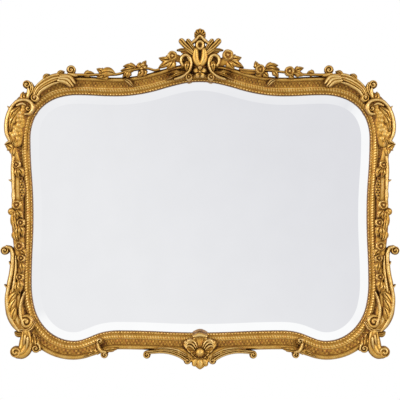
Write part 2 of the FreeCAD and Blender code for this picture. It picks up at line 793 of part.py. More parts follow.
def shoulder_scroll():
    """Free volute above the shoulder, with its tongue and a side leaf."""
    hook_shares = (
        (0.299, 0.74), (0.291, 0.94), (0.286, 1.17), (0.285, 1.43),
        (0.2885, 1.59), (0.2925, 1.59), (0.2955, 1.44),
    )
    leaf_shares = (
        ((0.298, 0.78), (0.294, 1.03), (0.2915, 1.28)),
        ((0.301, 0.78), (0.3025, 1.08), (0.300, 1.34)),
    )
    return limb(hook_shares, SCROLL_WIDTH_SHARES) + limbs(leaf_shares, BLADE_WIDTH_SHARES)


def shoulder_shield():
    """Rocaille shield on the shoulder: three swept lobes under a C-scroll, with leaf tips."""
    outer_shares = ((0.307, 1.12), (0.318, 1.32), (0.330, 1.39), (0.342, 1.34), (0.353, 1.22), (0.365, 1.00))
    lobe_shares = (
        ((0.309, 0.94), (0.321, 1.12), (0.334, 1.15), (0.347, 1.05), (0.361, 0.89)),
        ((0.310, 0.71), (0.323, 0.81), (0.338, 0.80), (0.352, 0.70), (0.367, 0.72)),
    )
    scroll_shares = (
        (0.316, 1.16), (0.309, 1.05), (0.304, 0.81), (0.302, 0.48),
        (0.306, 0.24), (0.314, 0.16), (0.3195, 0.32),
    )
    thorn_shares = (
        ((0.323, 1.34), (0.3212, 1.45), (0.320, 1.54)),
        ((0.358, 0.94), (0.364, 1.02), (0.370, 1.05)),
        ((0.355, 1.17), (0.362, 1.25), (0.369, 1.32)),
    )
    lobes = limb(outer_shares, RIM_WIDTH_SHARES) + limbs(lobe_shares, LOBE_WIDTH_SHARES)
    return lobes + limb(scroll_shares, SCROLL_WIDTH_SHARES) + limbs(thorn_shares, THORN_WIDTH_SHARES)


def side_drop():
    """Drop of flowers and husks down the side rail, on one stem."""
    stem_shares = (
        (0.374, 0.92), (0.397, 0.75), (0.418, 0.62), (0.442, 0.58), (0.469, 0.66), (0.492, 0.76),
        (0.516, 0.72), (0.540, 0.74), (0.561, 0.64), (0.588, 0.57), (0.623, 0.62),
    )
    leaf_shares = (
        ((0.409, 0.64), (0.418, 0.42), (0.428, 0.42)),
        ((0.434, 0.58), (0.451, 0.48), (0.467, 0.52)),
        ((0.486, 0.78), (0.493, 0.64), (0.501, 0.56)),
        ((0.496, 0.96), (0.514, 0.95), (0.530, 0.80)),
        ((0.514, 0.70), (0.525, 0.50), (0.537, 0.54)),
        ((0.527, 0.86), (0.538, 0.92), (0.547, 0.80)),
        ((0.554, 0.62), (0.561, 0.36), (0.570, 0.28)),
        ((0.579, 0.56), (0.590, 0.44), (0.600, 0.50)),
        ((0.612, 0.66), (0.627, 0.57), (0.637, 0.64)),
    )
    floweret_shares = ((0.379, 0.92), (0.405, 0.73), (0.511, 0.64), (0.576, 0.56), (0.609, 0.60))
    rose_shares = ((0.478, 0.82), (0.554, 0.68))
    bud_share = (0.491, 1.10)
    blooms = ball(bud_share, BUD_RADIUS)
    for share in floweret_shares:
        blooms += rosette(share, FLOWERET_WIDTH)
    for share in rose_shares:
        blooms += rosette(share, ROSE_WIDTH)
    return limb(stem_shares, STEM_WIDTH_SHARES) + limbs(leaf_shares, LEAF_WIDTH_SHARES) + blooms


def side_scroll():
    """Free scroll that stands out from the side rail, with two thorns."""
    hook_shares = (
        (0.632, 1.18), (0.618, 1.12), (0.597, 1.02), (0.576, 1.00), (0.563, 1.08),
        (0.557, 1.28), (0.5575, 1.52), (0.563, 1.65), (0.569, 1.53),
    )
    thorn_shares = (
        ((0.590, 1.02), (0.586, 1.12), (0.582, 1.18)),
        ((0.630, 1.16), (0.626, 1.30), (0.623, 1.40)),
    )
    return limb(hook_shares, SCROLL_WIDTH_SHARES) + limbs(thorn_shares, THORN_WIDTH_SHARES)


def lower_acanthus():
    """Acanthus over the lower corner: two swept lobes and an S-band that winds into a volute."""
    outer_shares = ((0.626, 1.10), (0.640, 1.26), (0.654, 1.33), (0.667, 1.34), (0.677, 1.29), (0.690, 1.16))
    middle_shares = ((0.630, 0.86), (0.646, 1.02), (0.663, 1.08), (0.676, 1.05), (0.688, 0.94))
    band_shares = (
        (0.634, 0.34), (0.650, 0.57), (0.665, 0.74), (0.679, 0.84), (0.690, 0.76),
        (0.692, 0.47), (0.685, 0.26), (0.678, 0.38),
    )
    eye_share = (0.6835, 0.52)
    lobes = limb(outer_shares, RIM_WIDTH_SHARES) + limb(middle_shares, LOBE_WIDTH_SHARES)
    return lobes + limb(band_shares, SCROLL_WIDTH_SHARES) + ball(eye_share, VOLUTE_EYE_RADIUS)


def foot_scroll():
    """Scrolled foot below the lower corner, with its thorn."""
    bulb_shares = (
        (0.695, 0.86), (0.702, 1.10), (0.708, 1.37), (0.7112, 1.68),
        (0.7102, 1.94), (0.7065, 2.02), (0.7045, 1.88),
    )
    bulb_width_shares = (2.5, 2.3, 1.0)
    thorn_shares = ((0.697, 1.10), (0.692, 1.32), (0.6875, 1.42))
    return limb(bulb_shares, bulb_width_shares) + limb(thorn_shares, BLADE_WIDTH_SHARES)


def foot_leaf():
    """Curled leaf between the foot and the bottom rail."""
    curl_shares = ((0.706, 0.80), (0.712, 0.92), (0.717, 1.10), (0.722, 1.22), (0.7245, 1.08))
    return limb(curl_shares, SCROLL_WIDTH_SHARES)


def base_scroll():
    """S-curl where the bottom rail steps up, with a leaf along each edge."""
    curl_shares = (
        ((0.817, 1.04), (0.820, 0.71), (0.8215, 0.43), (0.817, 0.25), (0.810, 0.32), (0.8115, 0.46)),
        ((0.780, 0.88), (0.793, 0.90), (0.807, 0.93), (0.8205, 1.08), (0.8205, 1.26), (0.811, 1.28)),
    )
    leaf_shares = ((0.820, 0.98), (0.838, 0.95), (0.857, 0.95))
    return limbs(curl_shares, SCROLL_WIDTH_SHARES) + limb(leaf_shares, LEAF_WIDTH_SHARES)


def shell_scroll():
    """Band under the bottom rail that curls at its outer end and at the shell."""
    lower_shares = (
        (0.911, 1.30), (0.905, 1.42), (0.900, 1.30), (0.905, 1.14), (0.915, 1.12), (0.929, 1.03),
        (0.943, 1.04), (0.961, 1.18), (0.976, 1.42),
    )
    upper_shares = ((0.926, 0.90), (0.947, 0.92), (0.968, 1.08), (0.984, 1.34))
    eye_share = (0.9775, 1.50)
    width_shares = (0.7, 0.9, 0.8)
    return limbs((lower_shares, upper_shares), width_shares) + ball(eye_share, VOLUTE_EYE_RADIUS)


def shell_pearl():
    """Pearl at the heart of the shell, flat where it is glued on."""
    x, z = rail_place(*SHELL_HUB_SHARE)
    pearl = Part.makeSphere(PEARL_RADIUS, spot(x, carving_front(), z))
    return pearl.common(drum(x, z, PEARL_RADIUS, carving_front(), carving_front() + PEARL_RADIUS))


def shell_rib(tip_share):
    """One rib of the shell, from its hub to a tip. The ridge starts clear of the pearl."""
    spine_shares = []
    for part in RIB_PART_SHARES:
        spine_shares.append(tuple(hub + (tip - hub) * part for hub, tip in zip(SHELL_HUB_SHARE, tip_share)))
    return limb(spine_shares, RIB_WIDTH_SHARES, 1)


def base_shell():
    """Shell of fanned ribs over the bottom rail, with a ribbed tongue below."""
    side_shares = (
        (0.9873, -0.03), (0.9776, 0.27), (0.9710, 0.58), (0.9690, 0.89), (0.9896, 1.76), (0.9840, 1.50),
    )
    middle_shares = ((1.0, -0.13), (1.0, 1.89))
    x, z = rail_place(*SHELL_HUB_SHARE)
    ribs = [drum(x, z, PEARL_RADIUS, CARVING_BACK, carving_front())]
    for share in side_shares:
        ribs += both_sides(shell_rib(share))
    for share in middle_shares:
        ribs += shell_rib(share)
    return ribs


# Assembly

def hardware():
    """The frame, the plate, the board and what holds them, as solids by name."""
    top_share = node_share(TOP_MITRE_NODE)
    bottom_share = node_share(BOTTOM_MITRE_NODE)
    mitres = {"top": TOP_MITRE_NODE, "bottom": BOTTOM_MITRE_NODE}
    plates = {end: corner_plate(node) for end, node in mitres.items()}
    housings = both_sides([corner_plate(node, SEAT_CLEARANCE) for node in mitres.values()])

    corner_places = corner_screw_places(TOP_MITRE_NODE) + corner_screw_places(BOTTOM_MITRE_NODE)
    fixings = {
        "corner_plate_screws": both_sides([screw(x, z, PLATE_SCREW_LENGTH) for x, z in corner_places]),
        "backing_screws": both_sides([screw(x, z, BOARD_SCREW_LENGTH) for x, z in board_screw_places()]),
        "hanger_screws": both_sides(
            [screw(x, z, PLATE_SCREW_LENGTH, STRAP_THICKNESS) for x, z in hanger_screw_places()]),
        "crest_brace_screws": [screw(x, z, PLATE_SCREW_LENGTH) for x, z in brace_screw_places()],
    }
    holes = [screw(x, z, PLATE_SCREW_LENGTH, 0, SCREW_CLEARANCE) for x, z in corner_places]
    holes += [screw(x, z, BOARD_SCREW_LENGTH, 0, SCREW_CLEARANCE) for x, z in board_screw_places()]
    for place in hanger_screw_places():
        holes.append(screw(*place, PLATE_SCREW_LENGTH, STRAP_THICKNESS, SCREW_CLEARANCE))
    holes = both_sides(holes)
    brace_holes = [screw(x, z, PLATE_SCREW_LENGTH, 0, SCREW_CLEARANCE) for x, z in brace_screw_places()]

    def drilled(shape, extra=()):
        """A shape with the screw holes and housings that reach it."""
        tools = [tool for tool in holes + list(extra) if tool.BoundBox.intersect(shape.BoundBox)]
        return shape.cut(tools)

    stile = drilled(member(top_share, bottom_share), housings)
    crest_cuts = housings + [crest_brace(SEAT_CLEARANCE)] + brace_holes
    nodes = {
        "top_rail": drilled(across_middle(member(0, top_share)), crest_cuts),
        "bottom_rail": drilled(across_middle(member(bottom_share, 1)), housings),
        "right_stile": stile,
        "left_stile": mirrored(stile),
        "mirror_plate": mirror_plate(),
        "setting_blocks": Part.makeCompound(both_sides([setting_block()])),
        "backing_board": drilled(backing_board()),
        "right_hanger_strap": hanger_strap(),
        "right_hanger_ring": hanger_ring(),
        "wall_bumpers": Part.makeCompound(both_sides([wall_bumper()])),
        "crest_brace": crest_brace().cut(brace_holes),
    }
    nodes["left_hanger_strap"] = mirrored(nodes["right_hanger_strap"])
    nodes["left_hanger_ring"] = mirrored(nodes["right_hanger_ring"])
    for end, plate in plates.items():
        nodes["corner_plate_%s_right" % end] = drilled(plate)
        nodes["corner_plate_%s_left" % end] = mirrored(nodes["corner_plate_%s_right" % end])
    for name, screws in fixings.items():
        nodes[name] = Part.makeCompound(screws)
    return nodes


def carving(brace):
    """The applied carving, seated on the frame, as solids by name."""
    top_share = node_share(TOP_MITRE_NODE)
    bottom_share = node_share(BOTTOM_MITRE_NODE)
    top = across_middle(seat_block(0, top_share))
    side = seat_block(top_share, bottom_share)
    base = across_middle(seat_block(bottom_share, 1))

    middle = {}
    middle["crest_cartouche"] = seated(crest_cartouche(), [top, brace])
    middle["crest_finial"] = seated(crest_finial(), [middle["crest_cartouche"], brace])
    middle["base_shell"] = seated(base_shell(), [base])
    middle["shell_pearl"] = shell_pearl()

    crest = [top, brace, middle["crest_cartouche"], middle["crest_finial"]]
    right = {}

    def add(name, solids, carriers):
        """Seat a piece of the right half."""
        right[name] = seated(solids, carriers)

    add("crest_scroll", crest_scroll(), crest)
    add("crest_spray", crest_spray(), crest + [right["crest_scroll"]])
    scrolls = both_sides([right["crest_scroll"]])
    middle["crest_flower"] = seated(crest_flower(), crest + scrolls)
    add("crest_bud", crest_bud(), crest + scrolls + [middle["crest_flower"]])

    crest_right = [top, right["crest_scroll"], right["crest_spray"]]
    roses = {"left": crest_rose_left(), "right": crest_rose_right()}
    garlands = {"left": garland_left(), "right": garland_right()}
    unlike = {}
    for hand in roses:
        rose = seated(roses[hand], crest_right)
        garland = seated(garlands[hand], [top, rose])
        unlike[hand] = {"crest_rose": rose, "garland": garland}

    ends = [unlike[hand]["garland"] for hand in unlike]
    add("rail_leaf", rail_leaf(), [top] + ends)
    add("top_acanthus", top_acanthus(), [top, side] + ends)
    add("shoulder_scroll", shoulder_scroll(), [top, side, right["top_acanthus"]])
    add("shoulder_shield", shoulder_shield(), [top, side, right["top_acanthus"], right["shoulder_scroll"]])
    add("side_drop", side_drop(), [side, right["shoulder_shield"]])
    add("side_scroll", side_scroll(), [side, right["side_drop"]])
    add("lower_acanthus", lower_acanthus(), [side, base, right["side_scroll"], right["side_drop"]])
    add("foot_scroll", foot_scroll(), [side, base, right["lower_acanthus"]])
    add("foot_leaf", foot_leaf(), [side, base, right["lower_acanthus"], right["foot_scroll"]])
    add("base_scroll", base_scroll(), [base])
    add("shell_scroll", shell_scroll(), [base, middle["base_shell"]])

    nodes = dict(middle)
    for name, shape in right.items():
        nodes["right_" + name] = shape
        nodes["left_" + name] = mirrored(shape)
    for name in ("crest_rose", "garland"):
        nodes["right_" + name] = unlike["right"][name]
        nodes["left_" + name] = mirrored(unlike["left"][name])
    return nodes


def build():
    """Make every piece and write one file for each."""
    os.makedirs("parts", exist_ok=True)
    nodes = hardware()
    nodes.update(carving(nodes["crest_brace"]))
    for name, shape in sorted(nodes.items()):
        shape.exportStep("parts/%s.step" % name)
    print(len(nodes), "pieces, edge of the opening", round(2 * HALF_RUN), "mm round")


build()
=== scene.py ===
"""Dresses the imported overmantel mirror: gilded moulding and carving, bevelled plate, back and studio.

Places on the frame are given along and across the moulding, as in the part: a share of the half run of
the opening's edge, clockwise from the top centre (0) to the bottom centre (1), and a share of the
moulding's width, outward from that edge. Depths are measured forward from the flat back, in metres.
"""
import functools
import itertools
import math
from collections import namedtuple

import bpy
import numpy as np
from bpy.props import FloatProperty, FloatVectorProperty, PointerProperty
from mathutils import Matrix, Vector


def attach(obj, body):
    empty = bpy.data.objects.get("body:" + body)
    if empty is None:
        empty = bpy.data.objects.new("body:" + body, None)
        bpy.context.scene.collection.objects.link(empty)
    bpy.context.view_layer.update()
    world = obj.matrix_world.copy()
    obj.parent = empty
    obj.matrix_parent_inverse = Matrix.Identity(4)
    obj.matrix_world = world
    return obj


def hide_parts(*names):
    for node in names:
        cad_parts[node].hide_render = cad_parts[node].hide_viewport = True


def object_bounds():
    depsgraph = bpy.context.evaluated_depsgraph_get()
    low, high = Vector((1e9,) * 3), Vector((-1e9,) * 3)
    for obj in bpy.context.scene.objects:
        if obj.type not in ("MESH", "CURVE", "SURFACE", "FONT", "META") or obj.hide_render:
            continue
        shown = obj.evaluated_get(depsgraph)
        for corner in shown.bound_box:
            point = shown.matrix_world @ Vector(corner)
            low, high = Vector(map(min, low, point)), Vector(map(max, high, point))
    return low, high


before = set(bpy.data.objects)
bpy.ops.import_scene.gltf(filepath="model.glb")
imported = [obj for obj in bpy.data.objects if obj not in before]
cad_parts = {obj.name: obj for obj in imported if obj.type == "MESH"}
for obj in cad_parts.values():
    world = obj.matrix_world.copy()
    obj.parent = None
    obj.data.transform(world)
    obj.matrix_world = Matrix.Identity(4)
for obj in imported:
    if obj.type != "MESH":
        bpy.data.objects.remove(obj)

CAD_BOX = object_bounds()

bl_info = {
    "name": "Gilt overmantel mirror",
    "version": (1, 0, 0),
    "blender": (4, 5, 0),
    "location": "View3D > Sidebar > Mirror",
    "description": "Gilded rococo frame, bevelled plate and hanging hardware of a wall mirror",
    "category": "Object",
}

# Opening and moulding, as in the part
SIGHT_WIDTH = 1.026
SIGHT_HEIGHT = 0.783
RAIL_WIDTH = 0.054
RAIL_DEPTH = 0.042
RAIL_BACK_SHARE = 0.93
BOARD_SEAT = 0.0213
PLATE_SEAT = 0.0114
BOARD_THICKNESS = 0.006
LIP_DEPTH = 0.0094
BACK_WEAR = 0.0004
SIGHT_NODE_SHARES = (
    (0.0, 1.0, 0),
    (0.222, 0.946, -17),
    (0.491, 0.890, 0),
    (0.725, 0.899, 0),
    (0.918, 0.818, -40),
    (1.0, 0.563, -90),
    (0.982, -0.027, -90),
    (0.993, -0.556, -90),
    (0.918, -0.890, -130),
    (0.743, -1.0, 180),
    (0.620, -0.954, 157),
    (0.480, -0.920, 180),
    (0.0, -0.936, 180),
)
TOP_MITRE_NODE = 4
BOTTOM_MITRE_NODE = 8
MOULDING_SHARES = (
    (None, (0.00, 0.41)),
    ((0.065, 0.54), (0.13, 0.54)),
    (None, (0.17, 0.56)),
    ((0.27, 0.66), (0.40, 0.69)),
    (None, (0.41, 0.63)),
    (None, (0.44, 0.63)),
    ((0.58, 0.65), (0.70, 0.76)),
    (None, (0.74, 0.76)),
    (None, (0.74, 0.80)),
    ((0.87, 1.00), (1.00, 0.79)),
    (None, (1.00, 0.55)),
)

# Running ornament of the moulding, as shares of its width
RIDGE_START_SHARE = 0.15
RIDGE_WIDTH_SHARE = 0.27
# Painted lines across the moulding: shade in the quirk, a highlight on the fillet, shade beside the beads
# and a shadow at the sight edge
QUIRK_SHARE = 0.33
FILLET_SHARE = 0.40
LINE_WIDTH_SHARE = 0.03
BEAD_SEAT_SHARE = 0.05
EDGE_SHADOW_SHARE = 0.025
FRIEZE_START_SHARE = 0.44
FRIEZE_WIDTH_SHARE = 0.28
BACK_TONE = 0.2

# Depths of the carving, forward from the flat back
CARVING_BACK = 0.016
BACK_STEP = 0.0001
BACK_STEPS = 37
CARVING_LOW = 0.0435
CARVING_RISE = 0.0125
FLOWER_RISE_SHARE = 1.16
SUNK_LOW = 0.034
SUNK_RISE_SHARE = 0.4
LEAF_CURL = 0.003
LOW_CURL = 0.0015
HIGH_CURL = 0.006
LIFTED = (LEAF_CURL, LEAF_CURL, LEAF_CURL)
ROLLED = (HIGH_CURL, HIGH_CURL, 0)
PEARL_LIFT = 0.010625
PEARL_RISE_SHARE = 0.988
DRAFT_SHARE = 0.85
# Tone of the carving's sloping sides and feet, a painted shade darker than the faces
SIDE_TONE = 0.3

# Sizes of the carving
BAND_WIDTH = 0.012
RING_WIDTH = 0.031
RING_HEIGHT = 0.0341
ROSE_WIDTH = 0.031
FULL_ROSE_WIDTH = 0.03472
BLOSSOM_WIDTH = 0.040
FLOWERET_WIDTH = 0.022
DROP_FLOWER_WIDTH = 0.0264
BUD_RADIUS = 0.0115
BELL_RADIUS = 0.00696
BERRY_RADIUS = 0.0058
FINIAL_ROOT_RADIUS = 0.00522
CARTOUCHE_EYE_RADIUS = 0.00464
PEARL_RADIUS = 0.013
PEBBLE_PITCH = 0.0125
SCALE_PITCH = 0.008

# Heart of the base shell, where its pearl sits
SHELL_HEART_SHARE = (1.0, 1.02)

# Fineness of the meshes
SPINE_STEP = 0.0018
LEAF_STEP = 0.00135
RUN_STEP = 0.00125
SPAN_POINTS = 25
LEAST_POINTS = 9
POINTS_ACROSS = 17
WIDE_POINTS_ACROSS = 33
POINTS_ROUND = 60
SHELL_POINTS_ROUND = 144
BEAD_POINTS_ROUND = 8
DOME_RINGS = 12
RINGS = 22
SHELL_RINGS = 28
ROSE_RINGS = 32
CURVE_POINTS = 11
STRAIGHT_POINTS = 4
SMOOTHING_POINTS = 6
BEND_ROOM_SHARE = 0.9
CORE_SHARE = 0.02
FLOWER_CORE_SHARE = 0.01
NOSE_SHARES = (0.995, 0.9, 0.7, 0.4)
BEAD_RING_SHARES = (1.0, 0.92, 0.71, 0.38, 0.05)
TINY = 1e-6

# Grain of the finishes, in cells per metre
MOTTLE_SCALE = 55
LEAF_GRAIN_SCALE = 420
WEAR_SCALE = 130
WASH_SCALE = 35
SAW_SCALE = 300
HAZE_SCALE = 9
FIBRE_SCALE = 480
BOARD_CLOUD_SCALE = 14
PINE_SCALES = (260, 260, 14)
STAIN_SCALE = 60
SMEAR_SCALE = 700
SCRATCH_SCALE = 900
DUST_SCALE = 240
FLOOR_SCALE = 3

# Darker and paler tones of the finishes, as shares of their colours
HAZE_TONE_SHARE = 0.985
STAIN_TONE_SHARE = 0.72
DUST_TONE_SHARE = 2.2
FLOOR_TONE_SHARE = 0.97

# How much fibres and clouds count in the board, and plain white in the floor as it is seen
FIBRE_SHARE = 0.6
BOARD_CLOUD_SHARE = 0.4
FLOOR_WHITE_SHARE = 0.85

# Roughness of clear silver and clean metal, and what haze and smears add
SILVER_ROUGHNESS = 0.002
HAZE_ROUGHNESS = 0.004
METAL_ROUGHNESS = 0.2
SMEAR_ROUGHNESS = 0.25

# Tones of the gilding, from 0 for wax and painted shade in a hollow to 1 for burnished leaf with a painted
# highlight
SHELTER_SAMPLES = 8
RELIEF_SHARE = 0.65
GROUND_TONE = 0.20
MOTTLE_SHARE = 0.42
LEAF_GRAIN_SHARE = 0.26
GRAIN_BUMP_SHARE = 0.5
LEAF_STOPS = (0.04, 0.26, 0.52, 0.74, 0.95)
WEAR_STOPS = (0.54, 0.68)
UNWORN = (0, 0, 0)
WORN = (0.7, 0.7, 0.7)
BOLE_SHARE = 0.55
BURNISH_SHARE = 0.28
WAX_ROUGHNESS = 0.22
LEAST_ROUGHNESS = 0.18

# Edges sharper than this stay crisp. Faces that look back, or lie this near the back, are washed
SHARP_ANGLE = math.radians(48)
BACKWARD = 0.99
WASH_DEPTH = 0.0096

# Width of the camera's sensor, in millimetres
SENSOR_WIDTH = 36

# Card: its place as a share of the camera's distance, its halves and the start and end of each fade as
# shares of the width in view, and how white the fade ends
CARD_PLACE_SHARE = 1.1
CARD_WIDTH_SHARE = 4
CARD_HEIGHT_SHARE = 2.5
RIGHT_FADE_SHARES = (0.9, 1.6, 0.9)
LEFT_FADE_SHARES = (0.918, 1.26, 0.1)
LOW_FADE_SHARES = (0.72, 1.17, 1)
HIGH_FADE_SHARES = (0.9, 1.6, 0.6)

# Slope of the card's tone to the upper right: its start and end, and how much height counts in it
SLOPE_SHARES = (-0.9, 1.28)
SLOPE_HEIGHT_SHARE = 0.7

# Widths at the start, middle and end of a limb, as shares of the band
THORN_SHARES = (0.75, 0.6, 0.25)

LEFT = -1
RIGHT = 1
HAND_NAMES = {LEFT: "left", RIGHT: "right"}
Arc = namedtuple("Arc", "start heading turn length")


# Edge of the opening

def arc_between(start, end, heading, tail):
    """The arc from start to end, given its heading at one of the two ends."""
    across = end[0] - start[0]
    up = end[1] - start[1]
    along = math.atan2(up, across)
    half_turn = along - heading if tail is None else tail - along
    half_turn = math.remainder(half_turn, 2 * math.pi)
    chord = math.hypot(across, up)
    length = chord if half_turn == 0 else chord * half_turn / math.sin(half_turn)
    return Arc(start, along - half_turn, 2 * half_turn, length)


def biarc(start, start_heading, end, end_heading):
    """Two arcs with a common tangent that join two points at two headings."""
    first = (math.cos(start_heading), math.sin(start_heading))
    last = (math.cos(end_heading), math.sin(end_heading))
    way = (end[0] - start[0], end[1] - start[1])
    both = (first[0] + last[0], first[1] + last[1])
    pull = way[0] * both[0] + way[1] * both[1]
    square = way[0] ** 2 + way[1] ** 2
    spread = 2 - 2 * (first[0] * last[0] + first[1] * last[1])
    if spread < TINY:
        reach = square / (2 * pull)
    else:
        reach = (math.sqrt(pull ** 2 + spread * square) - pull) / spread
    meet = tuple((start[i] + end[i] + reach * (first[i] - last[i])) / 2 for i in range(2))
    return [arc_between(start, meet, start_heading, None), arc_between(meet, end, None, end_heading)]


def sight_edge():
    """The right half of the opening's edge, clockwise from the top centre, as tangent arcs."""
    arcs = []
    nodes = [
        ((x * SIGHT_WIDTH / 2, z * SIGHT_HEIGHT / 2), math.radians(heading))
        for x, z, heading in SIGHT_NODE_SHARES
    ]
    for start, end in zip(nodes, nodes[1:]):
        arcs += biarc(*start, *end)
    return arcs


EDGE = sight_edge()
HALF_RUN = sum(arc.length for arc in EDGE)


def node_share(node):
    """Share of the half run at a node of the edge."""
    return sum(arc.length for arc in EDGE[:2 * node]) / HALF_RUN


def edge_frames(runs):
    """x, z and heading on the right half of the edge at shares of its run."""
    left = np.asarray(runs, float) * HALF_RUN
    found = np.zeros((*left.shape, 3))
    for arc in EDGE:
        heading = arc.heading + arc.turn * left / arc.length
        if arc.turn:
            radius = arc.length / arc.turn
            x = arc.start[0] + radius * (np.sin(heading) - math.sin(arc.heading))
            z = arc.start[1] + radius * (math.cos(arc.heading) - np.cos(heading))
        else:
            x = arc.start[0] + left * math.cos(arc.heading)
            z = arc.start[1] + left * math.sin(arc.heading)
        here = left >= 0
        found[here] = np.stack([x, z, heading], axis=-1)[here]
        left = left - arc.length
    return np.moveaxis(found, -1, 0)


def rail_places(shares):
    """(x, z) of places on the frame. Runs below 0 or above 1 lie on the left half."""
    runs, across = np.moveaxis(np.asarray(shares, float), -1, 0)
    hand = np.where((runs < 0) | (runs > 1), LEFT, RIGHT)
    folded = np.where(runs < 0, -runs, np.where(runs > 1, 2 - runs, runs))
    x, z, heading = edge_frames(folded)
    out = across * RAIL_WIDTH
    return np.stack([hand * (x - out * np.sin(heading)), z + out * np.cos(heading)], axis=-1)


# Lines, profiles and patterns

def smooth_line(places, step):
    """Evenly spaced points on a smooth line through places, and the directions along it."""
    places = np.asarray(places, float)
    gaps = np.linalg.norm(np.diff(places, axis=0), axis=1)
    knots = np.concatenate([[0], np.cumsum(np.sqrt(gaps))])
    slopes = np.gradient(places, knots, axis=0)
    t = np.linspace(0, 1, SPAN_POINTS)[:, None]
    dense = []
    for i in range(len(places) - 1):
        gap = knots[i + 1] - knots[i]
        dense.append(
            places[i] * (1 + 2 * t) * (1 - t) ** 2 + slopes[i] * gap * t * (1 - t) ** 2
            + places[i + 1] * t ** 2 * (3 - 2 * t) + slopes[i + 1] * gap * t ** 2 * (t - 1)
        )
    dense = np.concatenate(dense)
    gone = np.concatenate([[0], np.cumsum(np.linalg.norm(np.diff(dense, axis=0), axis=1))])
    count = max(LEAST_POINTS, int(gone[-1] / step) + 1)
    marks = np.linspace(0, gone[-1], count)
    line = np.column_stack([np.interp(marks, gone, dense[:, axis]) for axis in (0, 1)])
    along = np.gradient(line, axis=0)
    return line, along / np.linalg.norm(along, axis=1)[:, None]


def blend(values, part):
    """Value a part of the way along three values, on a smooth curve through them."""
    start, middle, end = values
    return (start * (1 - part) * (1 - 2 * part) + 4 * middle * part * (1 - part)
            + end * part * (2 * part - 1))


def swell(value, low, high):
    """0 below low, 1 above high, smooth between."""
    part = np.clip((value - low) / (high - low), 0, 1)
    return part * part * (3 - 2 * part)


def ridged(u, ridges, cut):
    """Height and tone across a full-backed band that grooves cut into ridges."""
    back = (1 - 0.92 * np.abs(u) ** 2.6) ** 0.5
    wave = np.abs(np.sin(math.pi * ridges * (u + 1) / 2)) ** 0.6
    height = back * (1 - cut + cut * wave)
    # Painted shade in the grooves and towards the band's edges
    tone = (0.25 + 0.75 * wave) * (0.35 + 0.65 * swell(1 - np.abs(u), 0, 0.3))
    return height, tone


def near(value, middle, width):
    """1 at the middle, falling to 0 over a width."""
    return np.exp(-((value - middle) / width) ** 2)


def crown(part):
    """Height of a round crown over parts of its radius, 0 outside it."""
    return np.sqrt(np.clip(1 - part ** 2, 0, 1))


def pebbled(along, across):
    """Rough rockwork: rounded pebbles of uneven size, 0 in the joints and 1 on the crowns."""
    a = along / PEBBLE_PITCH
    b = across / PEBBLE_PITCH
    nearest = math.inf
    for i, j in itertools.product((-1, 0, 1), repeat=2):
        row = np.floor(a) + i
        column = np.floor(b) + j
        shift_a = 0.5 + 0.38 * np.sin(row * 12.9 + column * 78.2)
        shift_b = 0.5 + 0.38 * np.sin(row * 39.3 + column * 11.1)
        nearest = np.minimum(nearest, (a - row - shift_a) ** 2 + (b - column - shift_b) ** 2)
    return np.clip(1 - 1.5 * nearest, 0, 1)


def scaled(along, across):
    """Overlapping round scales: 0 in the joints, 1 on the tips."""
    rows = along / SCALE_PITCH
    row = np.floor(rows)
    column = (across / SCALE_PITCH + 0.5 * (row % 2)) % 1 - 0.5
    part = rows - row
    edge = crown(column / 0.55)
    return np.where(part < edge, 0.35 + 0.65 * part, 0.15)


def round_angles(count=POINTS_ROUND):
    """Angles of the points round a turned form."""
    return np.linspace(0, 2 * math.pi, count, endpoint=False)


# Carved forms

# Depth of each form's flat back in turn, so that no two backs lie in one plane
BACKS = itertools.cycle(CARVING_BACK + BACK_STEP * step for step in range(BACK_STEPS))


